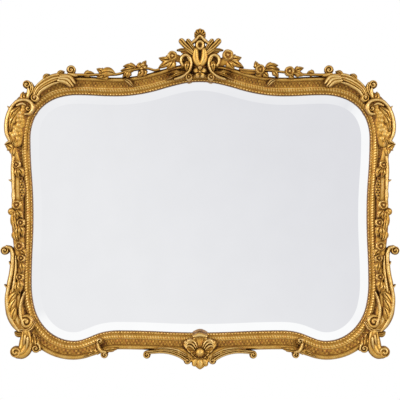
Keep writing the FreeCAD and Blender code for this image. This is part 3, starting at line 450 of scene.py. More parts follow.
class Carving:
    """Closed carved forms of one piece, and the tone of each point, painted shade to painted highlight:
    0 in a crease, 1 on a crest.

    Width and radius shares are of the band's width, rise shares of the carving's rise, and lifts are in
    metres. Three widths or lifts are those at the start, middle and end of a limb. dim darkens a form
    with painted shade.
    """

    def __init__(self, hand=RIGHT):
        self.hand = hand
        self.points = []
        self.tones = []
        self.faces = []
        self.size = 0

    def loft(self, loops, tones, ring=False):
        """Adds one closed form: loops of points (x, depth, z), each joined to the next."""
        rows, columns = loops.shape[:2]
        points = loops.reshape(-1, 3) * (self.hand, -1, 1)
        index = np.arange(rows * columns).reshape(rows, columns)
        here = index if ring else index[:-1]
        after = np.roll(index, -1, axis=0) if ring else index[1:]
        quads = np.stack([here, np.roll(here, -1, axis=1), np.roll(after, -1, axis=1), after], axis=-1)
        quads = quads.reshape(-1, 4)
        a, b, c, d = (points[quads[:, i]] - points.mean(axis=0) for i in range(4))
        inside = np.einsum("ij,ij->", a, np.cross(b, c)) + np.einsum("ij,ij->", a, np.cross(c, d))
        faces = quads.tolist()
        if not ring:
            faces += [index[0, ::-1].tolist(), index[-1].tolist()]
        if inside < 0:
            faces = [face[::-1] for face in faces]
        self.faces += [[corner + self.size for corner in face] for face in faces]
        self.points.append(points)
        self.tones.append(np.broadcast_to(tones, (rows, columns)).reshape(-1))
        self.size += rows * columns

    def both(self, form, *shape, **finish):
        """Adds a form and its mirror image."""
        for self.hand in (LEFT, RIGHT):
            form(*shape, **finish)

    def strip(self, line, along, half, depth, tone):
        """Adds a band of points across a line: its face, its sloping sides and its flat back."""
        side = np.column_stack([-along[:, 1], along[:, 0]])
        heading = np.unwrap(np.arctan2(along[:, 1], along[:, 0]))
        steps = np.linalg.norm(np.gradient(line, axis=0), axis=1)
        bend = np.gradient(heading) / np.maximum(steps, TINY)
        room = BEND_ROOM_SHARE / np.maximum(np.abs(bend), TINY)
        tight = np.minimum(half, room)
        left = np.where(bend > 0, tight, half)[:, None]
        right = np.where(bend < 0, tight, half)[:, None]
        u = np.linspace(-1, 1, depth.shape[1])
        face_reach = np.where(u > 0, left * u, right * u)
        back_reach = np.concatenate([left * DRAFT_SHARE, -right * DRAFT_SHARE], axis=1)
        back_depth = np.full(back_reach.shape, next(BACKS))
        loops = []
        for reach, depths in ((face_reach, depth), (back_reach, back_depth)):
            spots = line[:, None] + side[:, None] * reach[:, :, None]
            loops.append(np.stack([spots[:, :, 0], depths, spots[:, :, 1]], axis=-1))
        tones = np.concatenate([tone, np.full(back_reach.shape, SIDE_TONE)], axis=1)
        self.loft(np.concatenate(loops, axis=1), tones)

    def band(self, spine, width_shares, ridges=1, cut=0.3, lift=(0, 0, 0), pattern=None, rise_share=1,
             low=CARVING_LOW, dim=1):
        """Adds a scroll, stem or ground along places on the frame, with rounded ends."""
        line, along = smooth_line(rail_places(spine), SPINE_STEP)
        first, last = (share * BAND_WIDTH / 2 for share in (width_shares[0], width_shares[-1]))
        extra = len(NOSE_SHARES)
        fore = [line[0] - along[0] * first * part for part in NOSE_SHARES]
        aft = [line[-1] + along[-1] * last * part for part in NOSE_SHARES[::-1]]
        part = np.concatenate([[0] * extra, np.linspace(0, 1, len(line)), [1] * extra])
        line = np.concatenate([fore, line, aft])
        along = np.concatenate([[along[0]] * extra, along, [along[-1]] * extra])
        nose = np.ones(len(line))
        nose[:extra] = crown(np.array(NOSE_SHARES))
        nose[-extra:] = nose[extra - 1::-1]
        half = blend(width_shares, part) * BAND_WIDTH / 2 * nose
        u = np.linspace(-1, 1, WIDE_POINTS_ACROSS if pattern or ridges > 2 else POINTS_ACROSS)
        profile, shade = ridged(u, ridges, cut)
        height = np.outer(nose ** 0.5, profile)
        # Painted shade: darker over the rounded ends, in the grooves and at the edges, and over a whole
        # dimmed form
        tone = np.outer(0.5 + 0.5 * nose, shade) * dim
        if pattern:
            gone = np.cumsum(np.full(len(line), SPINE_STEP))
            mark = pattern(gone[:, None], half[:, None] * u)
            height = height * (0.5 + 0.5 * mark)
            tone = tone * (0.15 + 0.95 * mark)
        depth = low + rise_share * CARVING_RISE * height + blend(lift, part)[:, None]
        self.strip(line, along, half, depth, tone)

    def ground(self, spine, width_shares, **finish):
        """Adds a low band for other forms to stand on."""
        self.band(spine, width_shares, rise_share=SUNK_RISE_SHARE, **finish)

    def leaf(self, spine, width_share, lobes=3, lift=0):
        """Adds a full lobed leaf with a midrib and veins, from its stalk to its tip."""
        line, along = smooth_line(rail_places(spine), LEAF_STEP)
        t = np.linspace(0, 1, len(line))
        u = np.linspace(-1, 1, POINTS_ACROSS)
        swelling = np.sin(math.pi * (0.08 + 0.90 * t) ** 0.75)
        tooth = (lobes * t) % 1
        half = width_share * BAND_WIDTH / 2 * swelling * (0.85 + 0.3 * tooth)
        rib = near(u, 0, 0.12)[None, :]
        vein = 0.5 - 0.5 * np.cos(2 * math.pi * (lobes * t[:, None] - 0.6 * np.abs(u)))
        vein = vein ** 0.6
        dome = (1 - 0.85 * np.abs(u) ** 2.2)[None, :]
        height = (0.25 + 0.75 * dome) * (1 - 0.3 * rib) * (0.85 + 0.15 * vein)
        height = height * (0.55 + 0.45 * swelling)[:, None]
        # Painted shade towards the leaf's edges, along its midrib and in its veins
        tone = (0.36 + 0.6 * dome) * (1 - 0.6 * rib) * (0.5 + 0.5 * vein)
        curl = LEAF_CURL * swell(t, 0.5, 1)
        self.strip(line, along, half, CARVING_LOW + lift + CARVING_RISE * height + curl[:, None], tone)

    def leaves(self, spines, width_share, lobes=3, lift=0):
        """Adds several leaves of one kind."""
        for spine in spines:
            self.leaf(spine, width_share, lobes, lift)

    def turned(self, place, radii, height, tone, lift=0, rise_share=1, stretch=(1, 1)):
        """Adds a form of rings about a place, from its outer edge inward."""
        x, z = rail_places(place)
        angle = round_angles(radii.shape[1])
        depth = CARVING_LOW + lift + rise_share * CARVING_RISE * height * np.ones_like(radii)
        across = x + radii * np.cos(angle) * stretch[0]
        up = z + radii * np.sin(angle) * stretch[1]
        loops = np.stack([across, depth, up], axis=-1)
        foot = loops[:1] * (1, 0, 1) + (0, next(BACKS), 0)
        tones = np.concatenate([np.full_like(radii[:1], SIDE_TONE), tone * np.ones_like(radii)])
        self.loft(np.concatenate([foot, loops]), tones)

    def dome(self, place, radius, petals=0, lift=0, rise_share=1, stretch=(1, 1)):
        """Adds a berry, eye or bud. A bud's petals are folded round it."""
        angle = round_angles()
        part = np.cos(np.linspace(0, math.pi / 2, DOME_RINGS))[:, None]
        part[-1] = CORE_SHARE
        fold = np.abs(np.sin(petals * angle / 2 + 1.5 * part)) ** 0.5 if petals else 1
        height = 0.2 + 0.8 * crown(part) * (0.8 + 0.2 * fold)
        # Painted shade towards the edge and in the folds, a painted highlight on the crown
        tone = (0.3 + 0.6 * crown(part)) * (0.3 + 0.7 * fold)
        radii = part * np.full(POINTS_ROUND, radius)
        self.turned(place, radii, height, tone, lift, rise_share, stretch)

    def snail(self, place, radius_share, turns, begin=0, way=RIGHT, lift=0):
        """Adds a volute: a disc with a spiral cut from an angle in degrees, one way or the other."""
        part = np.linspace(1, CORE_SHARE, RINGS)[:, None]
        swirl = turns * part + way * (round_angles() - math.radians(begin)) / (2 * math.pi)
        wave = np.abs(np.sin(math.pi * swirl)) ** 0.7
        eye = crown(part / 0.24)
        edge = crown(part ** 3)
        height = np.maximum((0.45 + 0.55 * wave) * (0.3 + 0.7 * edge) * (1 - 0.25 * part ** 2), eye)
        # Painted shade in the spiral cut and towards the rim, a painted highlight on the eye
        tone = np.maximum((0.1 + 0.85 * wave) * (0.5 + 0.5 * edge), eye)
        radii = part * np.full(POINTS_ROUND, radius_share * BAND_WIDTH)
        self.turned(place, radii, height, tone, lift)

    def blossom(self, place, width, petals=5, turn=90):
        """Adds an open flower: cupped petals about a round heart, turned by an angle in degrees."""
        spread = np.abs(np.cos(petals * (round_angles() - math.radians(turn)) / 2))
        part = np.linspace(1, FLOWER_CORE_SHARE, RINGS)[:, None]
        edge = width / 2 * (0.6 + 0.4 * spread ** 0.8)
        cup = 0.6 + 0.25 * swell(part, 0.3, 0.7) - 0.3 * swell(part, 0.85, 1)
        crease = swell(spread, 0, 0.5)
        heart = crown(part / 0.3)
        height = np.maximum(cup * (0.55 + 0.45 * crease), heart)
        # Painted shade in the creases between petals and towards the heart, a painted highlight on the
        # heart
        petal_tone = (0.2 + 0.65 * crease) * (0.6 + 0.4 * swell(part, 0.3, 0.5))
        tone = np.where(heart > 0, 0.4 + 0.6 * heart, petal_tone)
        self.turned(place, part * edge, height, tone, rise_share=FLOWER_RISE_SHARE)

    def rose(self, place, width, turn=0, lift=0):
        """Adds a full rose: turned-back petals round a heart, turned by an angle in radians."""
        angle = round_angles()
        part = np.linspace(1, FLOWER_CORE_SHARE, ROSE_RINGS)[:, None]
        wander = part * (1 + 0.07 * np.cos(3 * (angle + turn))) + 0.03 * np.cos(2 * (angle - turn))
        petals = 0.7 + 0.3 * np.abs(np.cos(5 * (angle + turn) / 2)) ** 0.6
        outer = swell(wander, 0.42, 0.70) * petals
        heart = 1 - swell(wander, 0.12, 0.40)
        height = 0.6 + 0.25 * outer + 0.25 * heart - 0.45 * swell(part, 0.74, 1)
        # Painted shade in a ring between the outer petals and the heart, painted highlights on both
        tone = 0.15 + 0.75 * outer + 0.75 * heart
        radii = part * width / 2 * (0.8 + 0.2 * petals)
        self.turned(place, radii, height, tone, lift, FLOWER_RISE_SHARE)

    def oval_ring(self, place, wide, tall, band):
        """Adds a rounded oval ring."""
        x, z = rail_places(place)
        angle = round_angles()[:, None]
        u = np.linspace(-1, 1, POINTS_ACROSS)
        height, tone = ridged(u, 1, 0.3)
        inset = np.concatenate([band * (1 - u) / 2, [0, band]])
        depth = np.concatenate([CARVING_LOW + CARVING_RISE * height, [next(BACKS)] * 2])
        across = x + (wide / 2 - inset) * np.cos(angle)
        up = z + (tall / 2 - inset) * np.sin(angle)
        tones = np.concatenate([tone, [SIDE_TONE] * 2])
        self.loft(np.stack([across, depth * np.ones_like(angle), up], axis=-1), tones, ring=True)

    def shell(self, place, outline, rim_share=0.55, flute_share=0.6, lift=0):
        """Adds a lobed shell with a rolled rim.

        Each place of its outline is an angle from the top in degrees, a reach as a share of the rail's
        width, and how many ribs have passed by there.
        """
        angle = round_angles(SHELL_POINTS_ROUND)
        from_top = np.abs(np.remainder(np.degrees(angle) + 90, 360) - 180)
        turns, reaches, ribs = np.array(outline).T
        reach = np.interp(from_top, turns, reaches) * RAIL_WIDTH
        rib = np.abs(np.sin(math.pi * np.interp(from_top, turns, ribs))) ** 0.7
        part = np.linspace(1, CORE_SHARE, SHELL_RINGS)[:, None]
        radii = reach * part * (1 + 0.06 * (rib - 0.6) * swell(part, 0.6, 1))
        rim = near(part, 0.88, 0.1)
        fluting = rib * swell(part, 0.12, 0.5)
        height = 0.35 + flute_share / 2 * fluting + rim_share * rim - 0.5 * swell(part, 0.93, 1)
        # Painted shade between the ribs and towards the heart, a painted highlight on the rolled rim
        fan_tone = 0.7 - 0.8 * flute_share + flute_share * fluting
        tone = fan_tone * (1 - 0.7 * rim) + rim_share * rim * (1 + 0.4 * rib)
        tone = np.clip(tone, 0, 1) * (0.4 + 0.6 * swell(part, 0.2, 0.4))
        self.turned(place, radii, height, tone, lift)


# Moulding

def moulding_line():
    """Face of the moulding as points: across as shares of its width, and depth."""
    points = [np.array([MOULDING_SHARES[0][1]])]
    for middle, reached in MOULDING_SHARES[1:]:
        begun = points[-1][-1]
        reached = np.array(reached)
        halfway = (begun + reached) / 2
        pull = 2 * np.array(middle) - halfway if middle else halfway
        t = np.linspace(0, 1, CURVE_POINTS if middle else STRAIGHT_POINTS)[1:, None]
        points.append(begun * (1 - t) ** 2 + 2 * pull * t * (1 - t) + reached * t ** 2)
    across, depth = np.concatenate(points).T
    return across, depth * RAIL_DEPTH


def carved_face(gone, across, settings):
    """Height and tone of the running ornament: slanted dashes on the ridge, worn punches in the frieze."""
    ridge = np.clip((across - RIDGE_START_SHARE) / RIDGE_WIDTH_SHARE, 0, 1)
    ridge_zone = np.sin(math.pi * ridge)
    dashes = np.abs(np.sin(math.pi * (gone / settings.dash_pitch + across * settings.dash_slant))) ** 0.7
    quirk = near(across, QUIRK_SHARE, LINE_WIDTH_SHARE)
    fillet = near(across, FILLET_SHARE, LINE_WIDTH_SHARE)
    bead_seat = near(across, settings.bead_across, BEAD_SEAT_SHARE)
    shadow = near(across, 0, EDGE_SHADOW_SHARE)
    frieze = np.clip((across - FRIEZE_START_SHARE) / FRIEZE_WIDTH_SHARE, 0, 1)
    frieze_zone = np.sin(math.pi * frieze) ** 0.5
    rows = np.cos(2 * math.pi * (frieze - 0.25))
    worn = 0.6 + 0.4 * np.sin(2.4 * gone / settings.punch_pitch + 3 * rows)
    tips = 0.5 + 0.5 * np.cos(2 * math.pi * gone / settings.punch_pitch) * rows
    depth = settings.dash_depth * ridge_zone * dashes + settings.punch_depth * frieze_zone * tips * worn
    # Painted lines: a highlight on the fillet, shade in the quirk and beside the beads, and a shadow at
    # the sight edge
    lines = 0.3 * fillet - 0.4 * quirk - 0.2 * bead_seat - 0.6 * shadow
    # The tone is also painted shade between dashes and punches and painted highlight on their tips
    return depth, ridge_zone * (dashes - 0.55) + lines + frieze_zone * (1.3 * worn * (tips - 0.45) - 0.29)


def moulding(first_run, last_run, settings):
    """A length of gilded moulding with its running ornament and its beads."""
    carving = Carving()
    count = int(abs(last_run - first_run) * HALF_RUN / RUN_STEP)
    runs = np.linspace(first_run, last_run, count)[:, None]
    across, depth = moulding_line()
    window = 2 * SMOOTHING_POINTS + 1
    padded = np.pad(depth, SMOOTHING_POINTS, mode="edge")
    smoothed = np.convolve(padded, np.ones(window) / window, mode="valid")
    lift, mark = carved_face(runs * HALF_RUN, across, settings)
    # Tone of the face: painted shade in the moulding's hollows and painted highlight on its rounds, as
    # well as wax, and the running ornament's painted marks
    face_tone = settings.tone + (depth - smoothed) * settings.contrast / RAIL_DEPTH + settings.mark * mark
    back_shares, back_depths = np.transpose((
        (RAIL_BACK_SHARE, BACK_WEAR),
        (BOARD_SEAT / RAIL_WIDTH, BACK_WEAR),
        (BOARD_SEAT / RAIL_WIDTH, BOARD_THICKNESS),
        (PLATE_SEAT / RAIL_WIDTH, BOARD_THICKNESS),
        (PLATE_SEAT / RAIL_WIDTH, LIP_DEPTH),
        (0, LIP_DEPTH),
    ))
    columns = np.concatenate([across, back_shares])
    spots = rail_places(np.stack(np.broadcast_arrays(runs, columns), axis=-1))
    back_depth = np.broadcast_to(back_depths, (count, len(back_depths)))
    depths = np.concatenate([depth + lift, back_depth], axis=1)
    tones = np.concatenate([np.clip(face_tone, 0, 1), np.full(back_depth.shape, BACK_TONE)], axis=1)
    carving.loft(np.stack([spots[:, :, 0], depths, spots[:, :, 1]], axis=-1), tones)
    beads(carving, first_run, last_run, settings)
    return carving


def beads(carving, first_run, last_run, settings):
    """A row of beads along the edge of the opening."""
    count = int((last_run - first_run) * HALF_RUN / settings.bead_pitch)
    angle = round_angles(BEAD_POINTS_ROUND)
    part = np.array(BEAD_RING_SHARES)[:, None]
    height = np.sqrt(1 - part ** 2 * 0.99) * np.ones(BEAD_POINTS_ROUND)
    reach = settings.bead_radius * part
    depth = settings.bead_seat + settings.bead_radius * height
    for i in range(count):
        run = first_run + (i + 0.5) * (last_run - first_run) / count
        x, z = rail_places((run, settings.bead_across))
        loops = np.stack([x + reach * np.cos(angle), depth, z + reach * np.sin(angle)], axis=-1)
        # Painted highlight on each bead's crown, painted shade towards its foot
        carving.loft(loops, 0.3 + 0.7 * height)


# Carving of the crest

def crest_cartouche(carving):
    """Two puffed upright lobes under an oval ring, on a sunk ground."""
    ground_shares = ((0.0, 0.72), (0.0, 1.39), (0.0, 2.06))
    lobe_shares = ((0.0056, 1.70), (0.0066, 1.42), (0.0058, 1.16), (0.0030, 0.97))
    ring_share = (0.0, 1.99)
    eye_share = (0.0, 1.97)
    carving.ground(ground_shares, width_shares=(4.2, 4.6, 2.2), cut=0.1, low=SUNK_LOW, dim=0.35)
    carving.both(carving.band, lobe_shares, width_shares=(1.5, 2.0, 1.8), cut=0.2, dim=0.85)
    carving.oval_ring(ring_share, RING_WIDTH, RING_HEIGHT, BAND_WIDTH)
    carving.dome(eye_share, CARTOUCHE_EYE_RADIUS, rise_share=1 / 3, stretch=(0.7, 1.3))


def crest_finial(carving):
    """A small shell on two spread arms."""
    hub_share = (0.0, 2.48)
    arm_shares = ((0.0010, 2.50), (0.0055, 2.27), (0.0115, 2.08))
    stalk_shares = ((0.0, 2.46), (0.0, 2.30), (0.0, 2.14))
    shell_shares = (
        (0, 0.43, 0.5), (30, 0.41, 1.5), (60, 0.36, 2.5), (90, 0.31, 3.5),
        (115, 0.27, 4.5), (140, 0.2, 5), (180, 0.18, 6),
    )
    carving.shell(hub_share, shell_shares, rim_share=0.3)
    carving.dome(hub_share, FINIAL_ROOT_RADIUS)
    carving.both(carving.band, arm_shares, width_shares=(0.85, 1.0, 0.6))
    carving.band(stalk_shares, width_shares=(0.9, 0.8, 1.0), rise_share=0.5)


def crest_scroll(carving):
    """A C-scroll with a rolled rim whose tail runs down on to the rail, with a leaf and a sprig."""
    ground_shares = ((0.0197, 1.38), (0.0207, 1.16), (0.0200, 0.88))
    band_shares = (
        (0.0260, 0.94), (0.0280, 1.18), (0.0253, 1.41), (0.0193, 1.49), (0.0147, 1.33), (0.0133, 1.05),
        (0.0147, 0.80), (0.0187, 0.57), (0.0250, 0.40), (0.0343, 0.31), (0.0433, 0.29),
    )
    inner_shares = ((0.0180, 1.42), (0.0160, 1.24), (0.0152, 1.06))
    leaf_shares = ((0.0185, 1.12), (0.0205, 0.85), (0.0217, 0.58))
    sprig_shares = (
        ((0.0213, 0.52), (0.0363, 0.53), (0.0593, 0.37)),
        ((0.0297, 0.48), (0.0403, 0.66), (0.0513, 0.70)),
    )
    carving.ground(ground_shares, width_shares=(2.2, 2.4, 1.6), cut=0.1, low=SUNK_LOW, dim=0.45)
    carving.band(band_shares, width_shares=(0.95, 1.05, 0.65))
    carving.band(inner_shares, width_shares=(0.5, 0.8, 0.5), rise_share=0.8)
    carving.leaf(leaf_shares, width_share=1.5, lobes=2, lift=HIGH_CURL)
    carving.leaves(sprig_shares, width_share=1.2, lobes=2, lift=-LEAF_CURL)


def crest_spray(carving):
    """Four fluted leaf blades that spread beside the cartouche."""
    blade_shares = (
        ((0.0097, 1.59), (0.0157, 1.87), (0.0203, 2.11), (0.0228, 2.28)),
        ((0.0085, 1.80), (0.0120, 2.08), (0.0147, 2.26)),
        ((0.0090, 1.48), (0.0153, 1.72), (0.0200, 1.84)),
        ((0.0165, 1.70), (0.0240, 1.80), (0.0300, 1.83)),
    )
    width_shares = (
        (0.95, 1.45, 1.55), (0.75, 1.1, 1.15), (1.0, 1.4, 0.7), (0.7, 0.95, 0.4),
    )
    ground_shares = ((0.0115, 1.58), (0.0175, 1.66), (0.0235, 1.72))
    carving.ground(ground_shares, width_shares=(2.4, 2.2, 1.0), ridges=2, cut=0.2, dim=0.6)
    for shares, widths in zip(blade_shares, width_shares):
        carving.band(shares, widths, ridges=2, cut=0.4, dim=0.9)


def crest_rose_left(carving):
    """Rose and jagged leaf on the left of the crest."""
    rose_share = (0.0387, 1.57)
    leaf_shares = (
        ((0.0395, 1.42), (0.0505, 1.45), (0.0610, 1.66)),
        ((0.0400, 1.36), (0.0545, 1.22), (0.0660, 1.13)),
        ((0.0387, 1.36), (0.0437, 1.09), (0.0537, 0.92)),
    )
    stalk_shares = ((0.0400, 1.50), (0.0340, 1.42), (0.0275, 1.28))
    carving.ground(stalk_shares, width_shares=(1.2, 1.9, 1.6), dim=0.5)
    carving.leaves(leaf_shares, width_share=2.1, lobes=2, lift=-LEAF_CURL)
    carving.rose(rose_share, ROSE_WIDTH, lift=LEAF_CURL)


def crest_rose_right(carving):
    """Full rose and leaves on the right of the crest."""
    rose_share = (0.0390, 1.62)
    leaf_shares = (
        ((0.0430, 1.50), (0.0535, 1.54), (0.0612, 1.69)),
        ((0.0430, 1.40), (0.0575, 1.26), (0.0695, 1.18)),
        ((0.0397, 1.34), (0.0460, 1.12), (0.0555, 0.92)),
    )
    stalk_shares = ((0.0410, 1.42), (0.0350, 1.24), (0.0280, 1.10))
    carving.ground(stalk_shares, width_shares=(1.6, 2.2, 1.6), dim=0.5)
    carving.leaves(leaf_shares, width_share=2.1, lobes=2, lift=-LEAF_CURL)
    carving.rose(rose_share, FULL_ROSE_WIDTH, turn=0.6, lift=LEAF_CURL)


def crest_flower(carving):
    """Open flower at the foot of the cartouche, with leaves spread behind it."""
    flower_share = (0.0, 0.50)
    leaf_shares = (
        ((0.0, 0.40), (0.0065, 0.30), (0.0115, 0.34)),
        ((0.0, 0.60), (0.0060, 0.78), (0.0100, 0.84)),
    )
    carving.both(carving.leaves, leaf_shares, width_share=1.2, lobes=2, lift=-LEAF_CURL)
    carving.blossom(flower_share, BLOSSOM_WIDTH)


def crest_bud(carving):
    """Small rose beside the open flower."""
    bud_share = (0.0191, 0.26)
    carving.rose(bud_share, FLOWERET_WIDTH)


# Carving of the top rail

def knob_curl(carving):
    """Curl that ends a garland."""
    stem_shares = ((0.2260, 1.04), (0.2310, 1.07), (0.2365, 1.14))
    eye_share = (0.2333, 1.36)
    carving.band(stem_shares, width_shares=(0.8, 1.3, 0.8))
    carving.snail(eye_share, radius_share=1.15, turns=1.6, begin=200, way=LEFT)


def garland_left(carving):
    """Trailing stem with leaves, a long bud and berries."""
    stem_shares = (
        (0.2310, 1.08), (0.2200, 1.08), (0.2063, 1.08), (0.1910, 1.12), (0.1777, 1.14), (0.1547, 1.17),
        (0.1417, 1.24), (0.1283, 1.34), (0.1107, 1.34), (0.0877, 1.28), (0.0730, 1.06), (0.0657, 1.04),
    )
    leaf_shares = (
        ((0.2130, 1.06), (0.2047, 1.16), (0.1953, 1.18)),
        ((0.1777, 1.23), (0.1857, 1.36), (0.1923, 1.44)),
        ((0.1767, 1.15), (0.1840, 1.05), (0.1913, 0.94)),
        ((0.1697, 1.07), (0.1753, 0.98), (0.1810, 0.93)),
        ((0.1103, 1.40), (0.1227, 1.57), (0.1387, 1.60)),
        ((0.1150, 1.36), (0.1303, 1.38), (0.1447, 1.37)),
        ((0.1260, 1.34), (0.1333, 1.16), (0.1410, 0.98)),
        ((0.1250, 1.31), (0.1293, 1.10), (0.1320, 0.89)),
        ((0.1003, 1.32), (0.0920, 1.55), (0.0853, 1.71)),
        ((0.1023, 1.33), (0.1020, 1.52), (0.0983, 1.69)),
        ((0.0993, 1.31), (0.0923, 1.38), (0.0850, 1.45)),
        ((0.0987, 1.25), (0.1033, 1.05), (0.1113, 0.93)),
        ((0.0967, 1.24), (0.0953, 1.03), (0.0983, 0.89)),
    )
    bud_shares = ((0.1815, 1.24), (0.1680, 1.29), (0.1550, 1.20))
    berry_shares = ((0.0990, 1.33), (0.0937, 1.51), (0.0920, 1.35), (0.1023, 1.45), (0.0987, 1.18))
    carving.band(stem_shares, width_shares=(0.7, 0.6, 0.6), dim=0.7)
    carving.leaves(leaf_shares, width_share=1.7, lobes=2)
    carving.leaf(bud_shares, width_share=2.5, lobes=1, lift=LEAF_CURL)
    for share in berry_shares:
        carving.dome(share, BERRY_RADIUS, lift=LEAF_CURL)
    knob_curl(carving)


def garland_right(carving):
    """Trailing stem with leaves and two roses."""
    stem_shares = (
        (0.2310, 1.08), (0.2183, 1.08), (0.2063, 1.10), (0.1910, 1.13), (0.1757, 1.20), (0.1583, 1.28),
        (0.1413, 1.32), (0.1193, 1.32), (0.0907, 1.17), (0.0747, 1.08), (0.0640, 1.04),
    )
    leaf_shares = (
        ((0.2097, 1.10), (0.2030, 1.19), (0.1970, 1.14)),
        ((0.1740, 1.32), (0.1837, 1.43), (0.1930, 1.48)),
        ((0.1737, 1.23), (0.1833, 1.17), (0.1933, 1.08)),
        ((0.1660, 1.16), (0.1697, 1.04), (0.1737, 0.96)),
        ((0.1133, 1.44), (0.1247, 1.61), (0.1413, 1.66)),
        ((0.1147, 1.39), (0.1300, 1.46), (0.1453, 1.44)),
        ((0.1303, 1.35), (0.1373, 1.17), (0.1430, 0.97)),
        ((0.1097, 1.17), (0.1167, 1.06), (0.1227, 0.94)),
        ((0.0980, 1.36), (0.0933, 1.50), (0.0890, 1.70)),
        ((0.1080, 1.13), (0.1007, 1.00), (0.0953, 0.92)),
    )
    rose_shares = ((0.1030, 1.30), (0.1653, 1.33))
    ground_shares = ((0.0960, 1.12), (0.0820, 1.04), (0.0680, 0.98))
    carving.ground(ground_shares, width_shares=(1.0, 1.3, 1.0), dim=0.5)
    carving.band(stem_shares, width_shares=(0.7, 0.6, 0.6), dim=0.7)
    carving.leaves(leaf_shares, width_share=1.7, lobes=2)
    for share in rose_shares:
        carving.rose(share, ROSE_WIDTH, lift=LEAF_CURL)
    knob_curl(carving)


def rail_leaf(carving):
    """Small curled leaf that laps over the face of the top rail."""
    leaf_shares = ((0.1363, 0.86), (0.1287, 0.72), (0.1223, 0.46))
    carving.band(leaf_shares, width_shares=(0.6, 1.1, 0.4), ridges=2, cut=0.4)


# Carving of the upper corners

def top_acanthus(carving):
    """Acanthus over the upper corner: swept flutes from a volute to a veined tongue on the top rail."""
    main_shares = (
        (0.2910, 0.72), (0.2847, 0.87), (0.2767, 0.95), (0.2677, 1.00), (0.2580, 1.04), (0.2467, 1.02),
    )
    inner_shares = ((0.2887, 0.57), (0.2813, 0.68), (0.2720, 0.72), (0.2613, 0.76), (0.2507, 0.77))
    outer_shares = (
        (0.2820, 1.05), (0.2730, 1.13), (0.2660, 1.18), (0.2567, 1.20), (0.2487, 1.17), (0.2407, 1.10),
    )
    tongue_shares = (
        ((0.2520, 0.86), (0.2420, 0.70), (0.2360, 0.47)),
        ((0.2500, 0.97), (0.2390, 0.84), (0.2320, 0.49)),
        ((0.2480, 1.05), (0.2360, 0.97), (0.2287, 0.62)),
    )
    bump_shares = (
        ((0.2700, 1.16), (0.2660, 1.29), (0.2615, 1.33)),
        ((0.2520, 1.14), (0.2470, 1.27), (0.2420, 1.31)),
    )
    eye_share = (0.2927, 0.57)
    carving.band(main_shares, width_shares=(1.2, 2.1, 1.7), ridges=3, cut=0.25)
    carving.band(outer_shares, width_shares=(0.5, 0.9, 0.7))
    carving.band(inner_shares, width_shares=(0.8, 1.0, 0.5))
    for shares in tongue_shares:
        carving.band(shares, width_shares=(1.0, 1.35, 0.8), lift=LIFTED)
    carving.leaves(bump_shares, width_share=1.4, lobes=1, lift=LEAF_CURL)
    carving.snail(eye_share, radius_share=1.125, turns=1.3, begin=90, way=LEFT, lift=LEAF_CURL)


def shoulder_scroll(carving):
    """Free volute above the shoulder, with its tongue and a side leaf."""
    hook_shares = ((0.3020, 0.84), (0.2963, 0.93), (0.2907, 1.00), (0.2868, 1.15), (0.2858, 1.34))
    tongue_shares = ((0.2990, 0.89), (0.2940, 1.03), (0.2913, 1.21))
    leaf_shares = (
        ((0.3047, 0.90), (0.3023, 1.14), (0.2980, 1.28)),
        ((0.3020, 0.86), (0.2995, 1.02), (0.2965, 1.14)),
    )
    end_share = (0.2898, 1.43)
    carving.band(hook_shares, width_shares=(1.0, 1.3, 0.9), ridges=2)
    carving.band(tongue_shares, width_shares=(1.0, 1.2, 0.6), lift=LIFTED)
    carving.leaves(leaf_shares, width_share=1.7, lobes=2)
    carving.snail(end_share, radius_share=1.08, turns=1.4, begin=0, way=RIGHT)


def shoulder_shield(carving):
    """Rocaille shield on the shoulder: rockwork and swept leaves under a C-scroll, with leaf tips."""
    ground_shares = ((0.3085, 0.88), (0.3220, 0.89), (0.3360, 0.85), (0.3497, 0.78), (0.3640, 0.72))
    outer_shares = (
        (0.3093, 1.14), (0.3180, 1.30), (0.3267, 1.34), (0.3367, 1.33), (0.3453, 1.29), (0.3530, 1.22),
        (0.3630, 1.05),
    )
    scroll_shares = (
        (0.3170, 1.30), (0.3110, 1.20), (0.3057, 1.00), (0.3020, 0.69), (0.3029, 0.44), (0.3090, 0.25),
        (0.3168, 0.28), (0.3200, 0.46),
    )
    curl_share = (0.3107, 0.49)
    inner_shares = ((0.3147, 1.09), (0.3097, 0.91), (0.3087, 0.70))
    leaf_shares = (
        ((0.3150, 0.92), (0.3260, 1.14), (0.3390, 1.18)),
        ((0.3250, 0.94), (0.3370, 1.06), (0.3500, 1.04)),
    )
    tip_shares = (
        ((0.3567, 0.94), (0.3630, 1.00), (0.3690, 1.10)),
        ((0.3580, 0.72), (0.3667, 0.83), (0.3727, 0.89)),
    )
    thorn_shares = (
        ((0.3225, 1.36), (0.3210, 1.46), (0.3203, 1.55)),
        ((0.3640, 1.08), (0.3673, 1.26), (0.3690, 1.34)),
    )
    curled_shares = ((0.3780, 0.90), (0.3723, 1.10), (0.3687, 1.33))
    carving.band(
        ground_shares, width_shares=(3.8, 5.2, 3.2), cut=0.15, pattern=pebbled, rise_share=0.75, dim=0.92)
    carving.band(outer_shares, width_shares=(0.9, 1.25, 0.9))
    carving.leaves(leaf_shares, width_share=1.9, lobes=2, lift=LEAF_CURL)
    carving.leaves(tip_shares, width_share=1.5, lobes=1)
    carving.band(scroll_shares, width_shares=(0.9, 1.2, 0.8), lift=LIFTED)
    carving.band(inner_shares, width_shares=(0.8, 1.0, 0.6), lift=LIFTED)
    carving.snail(curl_share, radius_share=0.95, turns=1.2, begin=0, way=RIGHT)
    carving.leaf(curled_shares, width_share=2.2, lobes=2)
    for shares in thorn_shares:
        carving.band(shares, THORN_SHARES)


# Carving of the sides

